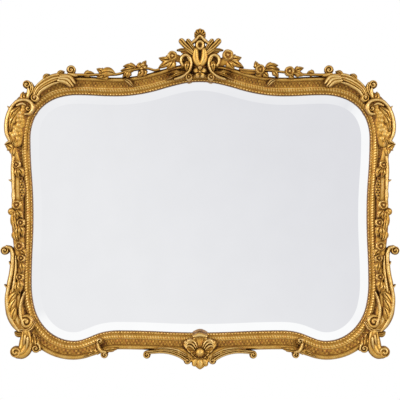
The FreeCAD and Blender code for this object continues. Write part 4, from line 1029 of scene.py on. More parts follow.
def side_drop(carving):
    """Drop of flowers and husks down the side rail, on one stem, beside a long edge leaf."""
    ground_shares = (
        (0.374, 0.86), (0.405, 0.74), (0.440, 0.72), (0.480, 0.80), (0.520, 0.78), (0.556, 0.66),
        (0.590, 0.56), (0.622, 0.58),
    )
    edge_shares = (
        ((0.3913, 0.87), (0.4103, 0.93), (0.4317, 0.96), (0.4560, 1.00)),
        ((0.4500, 0.97), (0.4620, 0.99), (0.4740, 0.98)),
    )
    husk_shares = (
        ((0.4100, 0.66), (0.4183, 0.47), (0.4273, 0.41)),
        ((0.4107, 0.72), (0.4197, 0.72), (0.4287, 0.62)),
        ((0.4877, 0.82), (0.4953, 0.67), (0.5027, 0.52)),
        ((0.4890, 0.90), (0.4975, 0.86), (0.5060, 0.76)),
        ((0.5157, 0.70), (0.5267, 0.55), (0.5373, 0.45)),
        ((0.5173, 0.78), (0.5303, 0.76), (0.5413, 0.64)),
        ((0.5600, 0.60), (0.5647, 0.41), (0.5715, 0.25)),
        ((0.5827, 0.52), (0.5917, 0.44), (0.6023, 0.42)),
        ((0.6130, 0.60), (0.6250, 0.54), (0.6367, 0.56)),
        ((0.6183, 0.76), (0.6300, 0.72), (0.6400, 0.66)),
    )
    long_shares = (
        ((0.4940, 1.04), (0.5120, 0.97), (0.5303, 0.85)),
        ((0.5267, 0.92), (0.5360, 0.90), (0.5450, 0.77)),
    )
    drop_shares = ((0.4327, 0.54), (0.4493, 0.50), (0.4680, 0.56))
    bell_shares = ((0.3740, 0.82), (0.3800, 0.90), (0.3890, 0.88))
    thorn_shares = ((0.4333, 1.00), (0.4320, 1.12), (0.4307, 1.20))
    floweret_shares = ((0.4047, 0.73), (0.5110, 0.62), (0.5757, 0.52), (0.6093, 0.57))
    upper_rose_share = (0.4783, 0.84)
    lower_rose_share = (0.5543, 0.66)
    bud_share = (0.4907, 1.13)
    bell_share = (0.3815, 0.90)
    carving.ground(ground_shares, width_shares=(1.6, 3.0, 1.8), cut=0.2, dim=0.95)
    for shares in edge_shares:
        carving.band(shares, width_shares=(0.9, 1.2, 0.7))
    carving.leaves(husk_shares, width_share=1.8, lobes=2, lift=LEAF_CURL)
    carving.leaves(long_shares, width_share=2.0, lobes=1, lift=LOW_CURL)
    carving.band(drop_shares, width_shares=(1.0, 1.6, 0.7), cut=0.2, pattern=scaled)
    carving.leaf(bell_shares, width_share=2.0, lobes=1)
    carving.dome(bell_share, BELL_RADIUS, petals=3)
    carving.band(thorn_shares, THORN_SHARES)
    carving.dome(bud_share, BUD_RADIUS, petals=3)
    for share in floweret_shares:
        carving.rose(share, DROP_FLOWER_WIDTH, lift=LEAF_CURL)
    carving.rose(upper_rose_share, ROSE_WIDTH, turn=0.4, lift=LEAF_CURL)
    carving.rose(lower_rose_share, ROSE_WIDTH, lift=LEAF_CURL)


def side_scroll(carving):
    """Free scroll that stands out from the side rail, with two thorns."""
    hook_shares = (
        (0.6323, 1.24), (0.6200, 1.15), (0.6043, 1.04), (0.5867, 0.99), (0.5690, 1.01), (0.5590, 1.15),
        (0.5572, 1.35),
    )
    stem_shares = ((0.6327, 0.97), (0.6147, 0.86), (0.5937, 0.80), (0.5723, 0.82))
    thorn_shares = (
        ((0.5887, 1.03), (0.5860, 1.12), (0.5827, 1.18)),
        ((0.6277, 1.20), (0.6253, 1.33), (0.6227, 1.42)),
    )
    eye_share = (0.5637, 1.45)
    ground_shares = ((0.6320, 1.10), (0.6150, 1.00), (0.5950, 0.92), (0.5750, 0.92))
    carving.ground(ground_shares, width_shares=(1.5, 1.6, 1.0), cut=0.2, dim=0.8)
    carving.band(hook_shares, width_shares=(1.15, 1.35, 1.0))
    carving.band(stem_shares, width_shares=(0.9, 1.1, 0.5))
    for shares in thorn_shares:
        carving.band(shares, THORN_SHARES)
    carving.snail(eye_share, radius_share=1.08, turns=1.6, begin=90, way=RIGHT)


# Carving of the lower corners

def lower_acanthus(carving):
    """Acanthus over the lower corner: swept lobes and an S-band that winds into a volute."""
    ground_shares = ((0.6330, 0.84), (0.6497, 0.97), (0.6647, 1.02), (0.6773, 1.00), (0.6870, 0.94))
    outer_shares = (
        (0.6250, 1.15), (0.6350, 1.27), (0.6453, 1.33), (0.6570, 1.36), (0.6667, 1.35), (0.6747, 1.32),
        (0.6830, 1.26), (0.6890, 1.20),
    )
    band_shares = (
        (0.6357, 0.32), (0.6483, 0.52), (0.6593, 0.67), (0.6683, 0.75), (0.6757, 0.78), (0.6847, 0.80),
    )
    roll_shares = ((0.6890, 1.12), (0.6935, 0.86), (0.6945, 0.56), (0.6905, 0.26))
    leaf_shares = (
        ((0.6517, 1.27), (0.6433, 1.06), (0.6330, 0.72)),
        ((0.6647, 1.30), (0.6553, 1.12), (0.6437, 0.80)),
        ((0.6743, 1.30), (0.6670, 1.13), (0.6567, 0.88)),
    )
    volute_share = (0.6830, 0.62)
    carving.band(ground_shares, width_shares=(3.0, 4.6, 3.4), ridges=3, rise_share=0.7)
    carving.band(outer_shares, width_shares=(0.9, 1.35, 1.0))
    carving.leaves(leaf_shares, width_share=2.5, lobes=1, lift=LEAF_CURL)
    carving.band(band_shares, width_shares=(0.5, 1.0, 1.0), lift=LIFTED)
    carving.band(roll_shares, width_shares=(1.0, 1.2, 0.9), ridges=2, cut=0.35)
    carving.snail(volute_share, radius_share=1.9, turns=1.8, begin=120, way=RIGHT, lift=LEAF_CURL)


def foot_scroll(carving):
    """Scrolled foot below the lower corner, with its flutes and thorn."""
    neck_shares = ((0.6960, 0.92), (0.7045, 1.16), (0.7105, 1.50), (0.7110, 1.78), (0.7090, 1.95))
    flute_shares = (
        ((0.6985, 1.02), (0.7030, 1.20), (0.7070, 1.42)),
        ((0.7030, 1.00), (0.7080, 1.20), (0.7118, 1.46)),
    )
    thorn_shares = ((0.6955, 1.16), (0.6920, 1.36), (0.6875, 1.44))
    volute_share = (0.7067, 2.02)
    carving.band(neck_shares, width_shares=(2.4, 3.6, 3.0), ridges=3, cut=0.2, dim=0.85)
    for shares in flute_shares:
        carving.band(shares, width_shares=(0.9, 1.0, 0.5), lift=ROLLED)
    carving.snail(volute_share, radius_share=1.4, turns=1.5, begin=300, way=LEFT, lift=LEAF_CURL)
    carving.leaf(thorn_shares, width_share=1.5, lobes=1)


def foot_leaf(carving):
    """Curled leaf between the foot and the bottom rail."""
    leaf_shares = (
        ((0.7160, 1.08), (0.7105, 0.82), (0.7033, 0.62)),
        ((0.7190, 1.02), (0.7150, 0.78), (0.7110, 0.58)),
    )
    volute_share = (0.7195, 1.10)
    tip_shares = ((0.7170, 0.82), (0.7210, 0.86), (0.7250, 1.02))
    carving.leaves(leaf_shares, width_share=1.6, lobes=2)
    carving.snail(volute_share, radius_share=1.12, turns=1.6, begin=180, way=RIGHT)
    carving.band(tip_shares, width_shares=(0.6, 0.8, 0.6))


# Carving of the bottom rail

def base_scroll(carving):
    """S-curl where the bottom rail steps up, with a leaf along each edge."""
    band_shares = ((0.8085, 0.50), (0.8070, 0.74), (0.8100, 0.94), (0.8190, 1.04))
    upper_share = (0.8145, 0.38)
    lower_share = (0.8143, 1.17)
    leaf_shares = (
        ((0.8140, 0.94), (0.7980, 0.87), (0.7800, 0.88)),
        ((0.8170, 0.93), (0.8350, 0.98), (0.8530, 0.94)),
        ((0.8060, 0.88), (0.7960, 0.78), (0.7860, 0.76)),
    )
    carving.leaves(leaf_shares, width_share=1.3)
    carving.band(band_shares, width_shares=(0.8, 1.1, 0.9))
    carving.snail(upper_share, radius_share=0.85, turns=1.5, begin=230, way=RIGHT)
    carving.snail(lower_share, radius_share=0.92, turns=1.5, begin=60, way=LEFT)


def shell_scroll(carving):
    """Bands under the bottom rail that curl at the outer end and at the shell."""
    lower_shares = (
        (0.9063, 1.12), (0.9167, 1.08), (0.9293, 1.03), (0.9433, 1.04), (0.9577, 1.15), (0.9683, 1.31),
        (0.9740, 1.44),
    )
    upper_shares = ((0.9257, 0.88), (0.9433, 0.88), (0.9610, 0.98), (0.9753, 1.19))
    outer_share = (0.9055, 1.26)
    inner_share = (0.9780, 1.50)
    leaf_shares = (
        ((0.9400, 0.98), (0.9270, 0.96), (0.9170, 0.90)),
        ((0.9530, 1.04), (0.9650, 1.06), (0.9760, 1.10)),
    )
    ground_shares = ((0.9540, 0.94), (0.9700, 1.09), (0.9830, 1.30))
    carving.ground(ground_shares, width_shares=(1.2, 2.4, 1.6), cut=0.2)
    carving.leaves(leaf_shares, width_share=1.2, lobes=2)
    carving.band(lower_shares, width_shares=(0.9, 1.15, 1.0), ridges=2, cut=0.35)
    carving.band(upper_shares, width_shares=(0.6, 1.1, 0.9), ridges=2, cut=0.35)
    carving.snail(outer_share, radius_share=0.95, turns=1.5, begin=100, way=LEFT)
    carving.snail(inner_share, radius_share=0.95, turns=1.5, begin=60, way=RIGHT)


def base_shell(carving):
    """Shell over the bottom rail: a fan under a rolled hood, bent flutes beside it and a lobed tongue."""
    shell_shares = (
        (0, 1.05, 0.5), (10, 1.03, 1.3), (18, 0.98, 2.0), (26, 0.90, 2.6), (32, 0.80, 3.0),
        (40, 0.90, 3.5), (50, 1.0, 4.2), (62, 1.06, 5.0), (70, 0.96, 5.6), (78, 0.80, 6.0),
        (95, 0.56, 7), (120, 0.45, 8), (180, 0.42, 10),
    )
    tongue_share = (1.0, 1.22)
    tongue_shares = (
        (0, 0.25, 0.5), (80, 0.42, 0.5), (100, 0.54, 0.5), (120, 0.60, 0.5), (140, 0.60, 0.5),
        (156, 0.63, 0.5), (168, 0.70, 0.5), (180, 0.76, 0.5),
    )
    hood_shares = ((0.9893, 0.14), (1.0, 0.06), (1.0107, 0.14))
    flute_shares = (
        ((0.9950, 0.76), (0.9920, 0.52), (0.9865, 0.36), (0.9805, 0.37), (0.9775, 0.50)),
        ((0.9930, 0.82), (0.9890, 0.62), (0.9835, 0.50), (0.9785, 0.53), (0.9760, 0.64)),
        ((0.9910, 0.90), (0.9865, 0.75), (0.9815, 0.66), (0.9770, 0.69), (0.9755, 0.77)),
    )
    tip_shares = ((1.0, 1.48), (1.0, 1.64), (1.0, 1.78))
    lap_shares = ((0.9940, 1.46), (0.9918, 1.56), (0.9904, 1.67))
    carving.shell(tongue_share, tongue_shares, rim_share=0.3, flute_share=0.2, lift=-LEAF_CURL)
    carving.both(carving.band, lap_shares, width_shares=(1.3, 1.7, 1.4), rise_share=0.6, dim=0.85)
    carving.band(tip_shares, width_shares=(1.5, 2.1, 1.7), rise_share=0.75, dim=0.9)
    carving.shell(SHELL_HEART_SHARE, shell_shares, rim_share=0.5, flute_share=0.35)
    carving.band(hood_shares, width_shares=(0.9, 1.25, 0.9), cut=0.2, lift=LIFTED)
    for shares in flute_shares:
        carving.both(carving.band, shares, width_shares=(0.4, 0.85, 0.7))


def shell_pearl(carving):
    """Pearl at the heart of the shell."""
    carving.dome(SHELL_HEART_SHARE, PEARL_RADIUS, lift=PEARL_LIFT, rise_share=PEARL_RISE_SHARE)


# Materials

def new_material(name):
    """A node material, its tree and its shader."""
    material = bpy.data.materials.new(name)
    material.use_nodes = True
    tree = material.node_tree
    return material, tree, tree.nodes["Principled BSDF"]


def feed(tree, socket, value):
    """Gives a socket another socket, a colour or a number."""
    if isinstance(value, bpy.types.NodeSocket):
        tree.links.new(value, socket)
    else:
        socket.default_value = (*value, 1) if hasattr(value, "__len__") else value


def noise(tree, scale, detail=4.0):
    """Noise in the object's own space, in cells per metre: one number, or one for each axis."""
    place = tree.nodes.new("ShaderNodeTexCoord").outputs["Object"]
    texture = tree.nodes.new("ShaderNodeTexNoise")
    texture.inputs["Detail"].default_value = detail
    if hasattr(scale, "__len__"):
        stretch = tree.nodes.new("ShaderNodeMapping")
        stretch.inputs["Scale"].default_value = scale
        tree.links.new(place, stretch.inputs["Vector"])
        place = stretch.outputs["Vector"]
        scale = 1
    texture.inputs["Scale"].default_value = scale
    tree.links.new(place, texture.inputs["Vector"])
    return texture.outputs["Fac"]


def sums(tree, operation, *values):
    """A math node. Each input is a socket or a number."""
    node = tree.nodes.new("ShaderNodeMath")
    node.operation = operation
    for socket, value in zip(node.inputs, values):
        feed(tree, socket, value)
    return node.outputs[0]


def ramp(tree, value, stops):
    """A colour ramp through (place, colour) stops."""
    node = tree.nodes.new("ShaderNodeValToRGB")
    elements = node.color_ramp.elements
    while len(elements) < len(stops):
        elements.new(0.5)
    for element, (place, colour) in zip(elements, stops):
        element.position = place
        element.color = (*colour, 1)
    tree.links.new(value, node.inputs["Fac"])
    return node.outputs["Color"]


def mixed(tree, share, first, second):
    """A colour a share of the way from the first to the second."""
    node = tree.nodes.new("ShaderNodeMix")
    node.data_type = "RGBA"
    for number, value in ((0, share), (6, first), (7, second)):
        feed(tree, node.inputs[number], value)
    return node.outputs[2]


def toned(colour, share):
    """A colour made darker or paler by a share."""
    return [value * share for value in colour]


def set_finish(tree, shader, colour, roughness, metallic=0):
    """Sets the colour, roughness and metal of a shader."""
    for name, value in (("Base Color", colour), ("Roughness", roughness), ("Metallic", metallic)):
        feed(tree, shader.inputs[name], value)


def bump(tree, shader, height, depth):
    """Bumps of a depth in metres on a shader."""
    node = tree.nodes.new("ShaderNodeBump")
    node.inputs["Distance"].default_value = depth
    tree.links.new(height, node.inputs["Height"])
    tree.links.new(node.outputs["Normal"], shader.inputs["Normal"])


def gilding(settings):
    """Water gilding: leaf over red bole, dark wax and painted shade in the hollows, and burnished high
    points with painted highlights.
    """
    material, tree, shader = new_material("gilding")
    wax_burnish_and_painted_light = tree.nodes.new("ShaderNodeAttribute")
    wax_burnish_and_painted_light.attribute_name = "wax_burnish_and_painted_light"
    wax_and_shade_in_hollows = tree.nodes.new("ShaderNodeAmbientOcclusion")
    wax_and_shade_in_hollows.samples = SHELTER_SAMPLES
    wax_and_shade_in_hollows.inputs["Distance"].default_value = settings.hollow_reach
    mottle = noise(tree, MOTTLE_SCALE)
    grain = noise(tree, LEAF_GRAIN_SCALE, detail=6)
    # Painted shade: the hollows that the occlusion finds are darkened, as well as holding wax
    openness = sums(tree, "POWER", wax_and_shade_in_hollows.outputs["AO"], settings.hollow_power)
    # Painted shade in creases and painted highlights on crests, from each point's tone, with the wax and
    # burnish
    height = sums(tree, "MULTIPLY_ADD", wax_burnish_and_painted_light.outputs["Fac"], RELIEF_SHARE, GROUND_TONE)
    tone = sums(tree, "MULTIPLY", height, openness)
    for pattern, share in ((mottle, MOTTLE_SHARE), (grain, LEAF_GRAIN_SHARE)):
        tone = sums(tree, "MULTIPLY_ADD", sums(tree, "SUBTRACT", pattern, 0.5), share, tone)
    tones = (settings.wax_and_deep_shade, settings.shade, settings.leaf, settings.bright, settings.burnish)
    leaf = ramp(tree, tone, tuple(zip(LEAF_STOPS, tones)))
    wear = noise(tree, WEAR_SCALE, detail=5)
    worn = ramp(tree, wear, tuple(zip(WEAR_STOPS, (UNWORN, WORN))))
    colour = mixed(tree, worn, leaf, mixed(tree, BOLE_SHARE, leaf, settings.bole))
    rough = sums(tree, "MULTIPLY_ADD", tone, -BURNISH_SHARE, settings.roughness + WAX_ROUGHNESS)
    rough = sums(tree, "MAXIMUM", rough, LEAST_ROUGHNESS)
    set_finish(tree, shader, colour, rough, settings.metal)
    bump(tree, shader, sums(tree, "MULTIPLY_ADD", grain, GRAIN_BUMP_SHARE, mottle), settings.gesso_depth)
    return material


def bare_back(settings):
    """Brown wash on the back of the mouldings, over sawn grain."""
    material, tree, shader = new_material("back_wash")
    streaks = noise(tree, WASH_SCALE, detail=8)
    colour = ramp(tree, streaks, ((0.3, settings.wash_dark), (0.7, settings.wash)))
    set_finish(tree, shader, colour, roughness=0.8)
    bump(tree, shader, noise(tree, SAW_SCALE, detail=6), settings.saw_depth)
    return material


def silvered_glass(settings):
    """Silvered plate: a clear reflection, with the faintest haze in the silver."""
    material, tree, shader = new_material("silvered_glass")
    haze = noise(tree, HAZE_SCALE, detail=3)
    hazy = toned(settings.silver, HAZE_TONE_SHARE)
    colour = ramp(tree, haze, ((0.35, hazy), (0.65, settings.silver)))
    roughness = sums(tree, "MULTIPLY_ADD", haze, HAZE_ROUGHNESS, SILVER_ROUGHNESS)
    set_finish(tree, shader, colour, roughness, metallic=1)
    return material


def fibreboard(settings):
    """Raw fibreboard: short fibres and darker flecks."""
    material, tree, shader = new_material("fibreboard")
    short = noise(tree, FIBRE_SCALE, detail=5)
    clouds = sums(tree, "MULTIPLY", noise(tree, BOARD_CLOUD_SCALE), BOARD_CLOUD_SHARE)
    fibres = sums(tree, "MULTIPLY_ADD", short, FIBRE_SHARE, clouds)
    colour = ramp(tree, fibres, ((0.34, settings.board_dark), (0.62, settings.board)))
    set_finish(tree, shader, colour, roughness=0.85)
    bump(tree, shader, fibres, settings.fibre_depth)
    return material


def sawn_pine(settings):
    """Sawn softwood: long grain along the height."""
    material, tree, shader = new_material("sawn_pine")
    grain = noise(tree, PINE_SCALES, detail=6)
    colour = ramp(tree, grain, ((0.3, settings.pine_dark), (0.7, settings.pine)))
    set_finish(tree, shader, colour, roughness=0.7)
    bump(tree, shader, grain, settings.grain_depth)
    return material


def plated_metal(name, colour, settings):
    """Plated metal: fine scratches and cloudy stains."""
    material, tree, shader = new_material(name)
    dark = toned(colour, STAIN_TONE_SHARE)
    stained = ramp(tree, noise(tree, STAIN_SCALE, detail=5), ((0.35, dark), (0.65, colour)))
    smears = noise(tree, SMEAR_SCALE, detail=3)
    roughness = sums(tree, "MULTIPLY_ADD", smears, SMEAR_ROUGHNESS, METAL_ROUGHNESS)
    set_finish(tree, shader, stained, roughness, metallic=1)
    bump(tree, shader, noise(tree, SCRATCH_SCALE, detail=2), settings.scratch_depth)
    return material


def soft_rubber(settings):
    """Black rubber with a dusty bloom."""
    material, tree, shader = new_material("soft_rubber")
    dust = noise(tree, DUST_SCALE, detail=5)
    dusty = toned(settings.rubber, DUST_TONE_SHARE)
    colour = ramp(tree, dust, ((0.4, settings.rubber), (0.75, dusty)))
    set_finish(tree, shader, colour, roughness=0.75)
    bump(tree, shader, dust, settings.dust_depth)
    return material


# Pieces

def add_piece(name, carving, material, node, back=None):
    """Makes one piece from a carving. It replaces a node and rides on the frame."""
    mesh = bpy.data.meshes.new(name)
    mesh.from_pydata(np.concatenate(carving.points).tolist(), [], carving.faces)
    wax_burnish_and_painted_light = mesh.attributes.new("wax_burnish_and_painted_light", "FLOAT", "POINT")
    wax_burnish_and_painted_light.data.foreach_set("value", np.concatenate(carving.tones).astype(np.float32))
    mesh.shade_smooth()
    mesh.set_sharp_from_angle(angle=SHARP_ANGLE)
    mesh.materials.append(material)
    if back:
        mesh.materials.append(back)
        for face in mesh.polygons:
            face.material_index = int(face.normal.y > BACKWARD or face.center.y > -WASH_DEPTH)
    piece = bpy.data.objects.new(name, mesh)
    bpy.context.scene.collection.objects.link(piece)
    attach(piece, "frame")
    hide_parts(node)
    return piece


@functools.cache
def gilt_finish():
    """The gilding, made once for all carving and mouldings."""
    return gilding(bpy.context.scene.mirror.gilt)


def carve(form, node, hand=RIGHT):
    """Makes the carved piece of one node, of one hand."""
    carving = Carving(hand)
    form(carving)
    add_piece("carved_" + node, carving, gilt_finish(), node)


def carve_pairs(*forms):
    """Makes pairs of carved pieces that mirror each other."""
    for form, hand in itertools.product(forms, HAND_NAMES):
        carve(form, HAND_NAMES[hand] + "_" + form.__name__, hand)


def carve_singles(*forms):
    """Makes carved pieces that stand alone."""
    for form in forms:
        carve(form, form.__name__)


def paint(material, *nodes):
    """Gives CAD nodes that stay in view a material."""
    for name in nodes:
        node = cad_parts[name]
        node.data.materials.clear()
        node.data.materials.append(material)


# Settings

def number_setting(name, description, default):
    """A plain number that a user may change."""
    return FloatProperty(name=name, description=description, default=default)


def length_setting(name, description, default):
    """A length that a user may change."""
    return FloatProperty(name=name, description=description, default=default, unit="LENGTH")


def power_setting(name, description, default):
    """The power of a lamp that a user may change."""
    return FloatProperty(name=name, description=description, default=default, unit="POWER")


def place_setting(name, description, default):
    """A place that a user may change."""
    return FloatVectorProperty(
        name=name, description=description, default=default, subtype="TRANSLATION", unit="LENGTH")


def colour_setting(name, description, default):
    """A colour that a user may change."""
    return FloatVectorProperty(name=name, description=description, default=default, subtype="COLOR")


class MIRROR_PG_moulding(bpy.types.PropertyGroup):
    """Running ornament of the moulding"""
    bead_pitch: length_setting("Bead pitch", "Distance between beads", 0.0092)
    bead_radius: length_setting("Bead radius", "Radius of a bead", 0.0037)
    bead_seat: length_setting("Bead seat", "Depth of a bead's centre", 0.0205)
    bead_across: number_setting("Bead place", "Share of the width at the beads", 0.075)
    dash_pitch: length_setting("Dash pitch", "Distance between dashes on the ridge", 0.0078)
    dash_depth: length_setting("Dash depth", "Depth between the dashes", 0.0011)
    dash_slant: number_setting("Dash slant", "Dashes passed on the way across the moulding", 2.2)
    punch_pitch: length_setting("Punch pitch", "Distance between punches in the frieze", 0.0100)
    punch_depth: length_setting("Punch depth", "Depth of the punches", 0.0016)
    tone: number_setting("Tone", "How bright plain leaf on the moulding is", 0.56)
    # Mark scales the running ornament's painted shade, highlight and shadow; contrast scales painted shade
    # in the hollows and painted highlight on the rounds, as well as wax
    mark: number_setting("Mark", "How much the running ornament stands out", 1.0)
    contrast: number_setting("Contrast", "How much hollows of the moulding hold wax", 2.2)


class MIRROR_PG_gilt(bpy.types.PropertyGroup):
    """Gilding"""
    # The wax colour is also painted shade in the deepest hollows
    wax_and_deep_shade: colour_setting("Wax", "Dark wax in the hollows", (0.035, 0.014, 0.004))
    shade: colour_setting("Shade", "Toned leaf", (0.17, 0.072, 0.011))
    leaf: colour_setting("Leaf", "Plain leaf", (0.33, 0.170, 0.022))
    # Rubbed and burnished leaf are also painted highlights on the crests
    bright: colour_setting("Bright", "Rubbed leaf", (0.44, 0.26, 0.06))
    burnish: colour_setting("Burnish", "Burnished leaf", (0.56, 0.415, 0.185))
    bole: colour_setting("Bole", "Red clay under the leaf", (0.30, 0.08, 0.02))
    roughness: number_setting("Roughness", "Roughness of plain leaf", 0.46)
    metal: number_setting("Metal", "How metallic the leaf is", 0.8)
    # Hollow reach and power set painted shade in the hollows, as well as their wax
    hollow_reach: length_setting("Hollow reach", "How wide a hollow holds wax", 0.009)
    hollow_power: number_setting("Hollow power", "How strongly hollows darken", 1.3)
    gesso_depth: length_setting("Gesso depth", "Unevenness of the gesso", 0.0005)


class MIRROR_PG_plate(bpy.types.PropertyGroup):
    """Mirror plate"""
    silver: colour_setting("Silver", "Reflection of the plate", (0.97, 0.975, 0.98))


class MIRROR_PG_back(bpy.types.PropertyGroup):
    """Back of the mirror"""
    wash: colour_setting("Wash", "Wash on the moulding's back", (0.33, 0.20, 0.09))
    wash_dark: colour_setting("Dark wash", "Wash in the grain", (0.16, 0.09, 0.04))
    board: colour_setting("Board", "Backing board", (0.42, 0.30, 0.19))
    board_dark: colour_setting("Dark board", "Flecks in the board", (0.26, 0.17, 0.10))
    pine: colour_setting("Pine", "Crest brace", (0.62, 0.44, 0.25))
    pine_dark: colour_setting("Dark pine", "Grain of the brace", (0.42, 0.27, 0.13))
    zinc: colour_setting("Zinc", "Plates, straps and screws", (0.62, 0.63, 0.65))
    brass: colour_setting("Brass", "Rings", (0.72, 0.55, 0.25))
    rubber: colour_setting("Rubber", "Bumpers and blocks", (0.03, 0.03, 0.03))
    saw_depth: length_setting("Saw depth", "Sawn grain under the wash", 0.0003)
    fibre_depth: length_setting("Fibre depth", "Fibres of the board", 0.0003)
    grain_depth: length_setting("Grain depth", "Grain of the brace", 0.0004)
    dust_depth: length_setting("Dust depth", "Bloom on the rubber", 0.0002)
    scratch_depth: length_setting("Scratch depth", "Depth of scratches", 0.0001)


class MIRROR_PG_stage(bpy.types.PropertyGroup):
    """Studio"""
    view_width: length_setting("View width", "Width that the picture takes in", 1.2)
    view_up: length_setting("View height", "Height of the picture's centre", 0.0345)
    distance: length_setting("Distance", "Camera to the frame's face", 6.0)
    floor_drop: length_setting("Floor drop", "Floor below the frame's foot", 0.5)
    floor_size: length_setting("Floor size", "Side of the floor", 5.2)
    floor: colour_setting("Floor", "Floor paint", (0.86, 0.86, 0.85))
    card: colour_setting("Card", "Card that the plate faces", (0.862, 0.863, 0.878))
    card_dim: colour_setting("Dim card", "Its upper right", (0.757, 0.758, 0.790))
    sky: number_setting("Sky", "Light from all round", 0.55)
    key_power: power_setting("Key", "Power of the main lamp", 150.0)
    key_size: length_setting("Key size", "Side of the main lamp", 1.8)
    key_place: place_setting("Key place", "Place of the main lamp", (-3.0, -2.8, 1.1))
    fill_power: power_setting("Fill", "Power of the second lamp", 125.0)
    fill_size: length_setting("Fill size", "Side of the second lamp", 2.2)
    fill_place: place_setting("Fill place", "Place of the second lamp", (3.0, -2.8, 0.9))


class MIRROR_PG_settings(bpy.types.PropertyGroup):
    """All settings of the mirror"""
    moulding: PointerProperty(type=MIRROR_PG_moulding)
    gilt: PointerProperty(type=MIRROR_PG_gilt)
    plate: PointerProperty(type=MIRROR_PG_plate)
    back: PointerProperty(type=MIRROR_PG_back)
    stage: PointerProperty(type=MIRROR_PG_stage)


# Operators

class MIRROR_OT_moulding(bpy.types.Operator):
    """Make the four gilded mouldings"""
    bl_idname = "mirror.moulding"
    bl_label = "Moulding"

    def execute(self, context):
        settings = context.scene.mirror
        gilt = gilt_finish()
        wash = bare_back(settings.back)
        top = node_share(TOP_MITRE_NODE)
        bottom = node_share(BOTTOM_MITRE_NODE)
        spans = {
            "top_rail": (-top, top),
            "right_stile": (top, bottom),
            "bottom_rail": (bottom, 2 - bottom),
            "left_stile": (2 - bottom, 2 - top),
        }
        for name, (first, last) in spans.items():
            carving = moulding(first, last, settings.moulding)
            add_piece("moulded_" + name, carving, gilt, name, wash)
        return {"FINISHED"}


class MIRROR_OT_crest(bpy.types.Operator):
    """Make the crest with its cartouche, shell, scrolls and flowers"""
    bl_idname = "mirror.crest"
    bl_label = "Crest"

    def execute(self, context):
        carve_singles(crest_cartouche, crest_finial, crest_flower)
        carve_pairs(crest_scroll, crest_spray, crest_bud)
        carve(crest_rose_left, "left_crest_rose", LEFT)
        carve(crest_rose_right, "right_crest_rose", RIGHT)
        return {"FINISHED"}


class MIRROR_OT_garlands(bpy.types.Operator):
    """Make the two garlands and the leaves on the top rail"""
    bl_idname = "mirror.garlands"
    bl_label = "Garlands"

    def execute(self, context):
        carve(garland_left, "left_garland", LEFT)
        carve(garland_right, "right_garland", RIGHT)
        carve_pairs(rail_leaf)
        return {"FINISHED"}


class MIRROR_OT_corners(bpy.types.Operator):
    """Make the carving of the upper and lower corners"""
    bl_idname = "mirror.corners"
    bl_label = "Corners"

    def execute(self, context):
        carve_pairs(top_acanthus, shoulder_scroll, shoulder_shield)
        carve_pairs(lower_acanthus, foot_scroll, foot_leaf)
        return {"FINISHED"}


class MIRROR_OT_sides(bpy.types.Operator):
    """Make the flower drops and the free scrolls of the sides"""
    bl_idname = "mirror.sides"
    bl_label = "Sides"

    def execute(self, context):
        carve_pairs(side_drop, side_scroll)
        return {"FINISHED"}


class MIRROR_OT_base(bpy.types.Operator):
    """Make the shell, its pearl and the scrolls of the bottom rail"""
    bl_idname = "mirror.base"
    bl_label = "Base"

    def execute(self, context):
        carve_singles(base_shell, shell_pearl)
        carve_pairs(base_scroll, shell_scroll)
        return {"FINISHED"}


class MIRROR_OT_plate(bpy.types.Operator):
    """Silver the plate"""
    bl_idname = "mirror.plate"
    bl_label = "Plate"

    def execute(self, context):
        paint(silvered_glass(context.scene.mirror.plate), "mirror_plate")
        return {"FINISHED"}


class MIRROR_OT_back(bpy.types.Operator):
    """Finish the board, the brace, the hangers and the screws"""
    bl_idname = "mirror.back"
    bl_label = "Back"

    def execute(self, context):
        settings = context.scene.mirror.back
        zinc = plated_metal("zinc_plate", settings.zinc, settings)
        brass = plated_metal("brass_plate", settings.brass, settings)
        zinc_words = ("screws", "strap", "corner_plate_")
        paint(zinc, *(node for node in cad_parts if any(word in node for word in zinc_words)))
        paint(brass, "left_hanger_ring", "right_hanger_ring")
        paint(fibreboard(settings), "backing_board")
        paint(sawn_pine(settings), "crest_brace")
        paint(soft_rubber(settings), "wall_bumpers", "setting_blocks")
        return {"FINISHED"}


class MIRROR_OT_stage(bpy.types.Operator):
    """Set up the floor, the card, the light and the camera"""
    bl_idname = "mirror.stage"
    bl_label = "Stage"

    def execute(self, context):
        settings = context.scene.mirror.stage
        context.scene.view_settings.view_transform = "Standard"
        add_floor(settings)
        add_card(settings)
        add_sky(context.scene, settings)
        add_lamp("key", settings.key_place, settings.key_size, settings.key_power)
        add_lamp("fill", settings.fill_place, settings.fill_size, settings.fill_power)
        add_camera(context.scene, settings)
        return {"FINISHED"}


# Stage

def sheet_object(name, corners, material):
    """A flat sheet of the stage."""
    mesh = bpy.data.meshes.new(name)
    mesh.from_pydata(corners, [], [range(len(corners))])
    mesh.materials.append(material)
    sheet = bpy.data.objects.new(name, mesh)
    bpy.context.scene.collection.objects.link(sheet)
    return sheet


def seen_directly(tree):
    """1 for rays from the camera or by way of a reflection or clear glass, else 0."""
    path = tree.nodes.new("ShaderNodeLightPath")
    seen = sums(tree, "MAXIMUM", path.outputs["Is Camera Ray"], path.outputs["Is Glossy Ray"])
    return sums(tree, "MAXIMUM", seen, path.outputs["Is Transmission Ray"])


def mix_shaders(tree, share, first, second, output):
    """Leads a mix of two shaders, a share of the way to the second, to an output."""
    mix = tree.nodes.new("ShaderNodeMixShader")
    for socket, source in zip(mix.inputs, (share, first.outputs[0], second.outputs[0])):
        tree.links.new(source, socket)
    tree.links.new(mix.outputs[0], tree.nodes[output].inputs["Surface"])


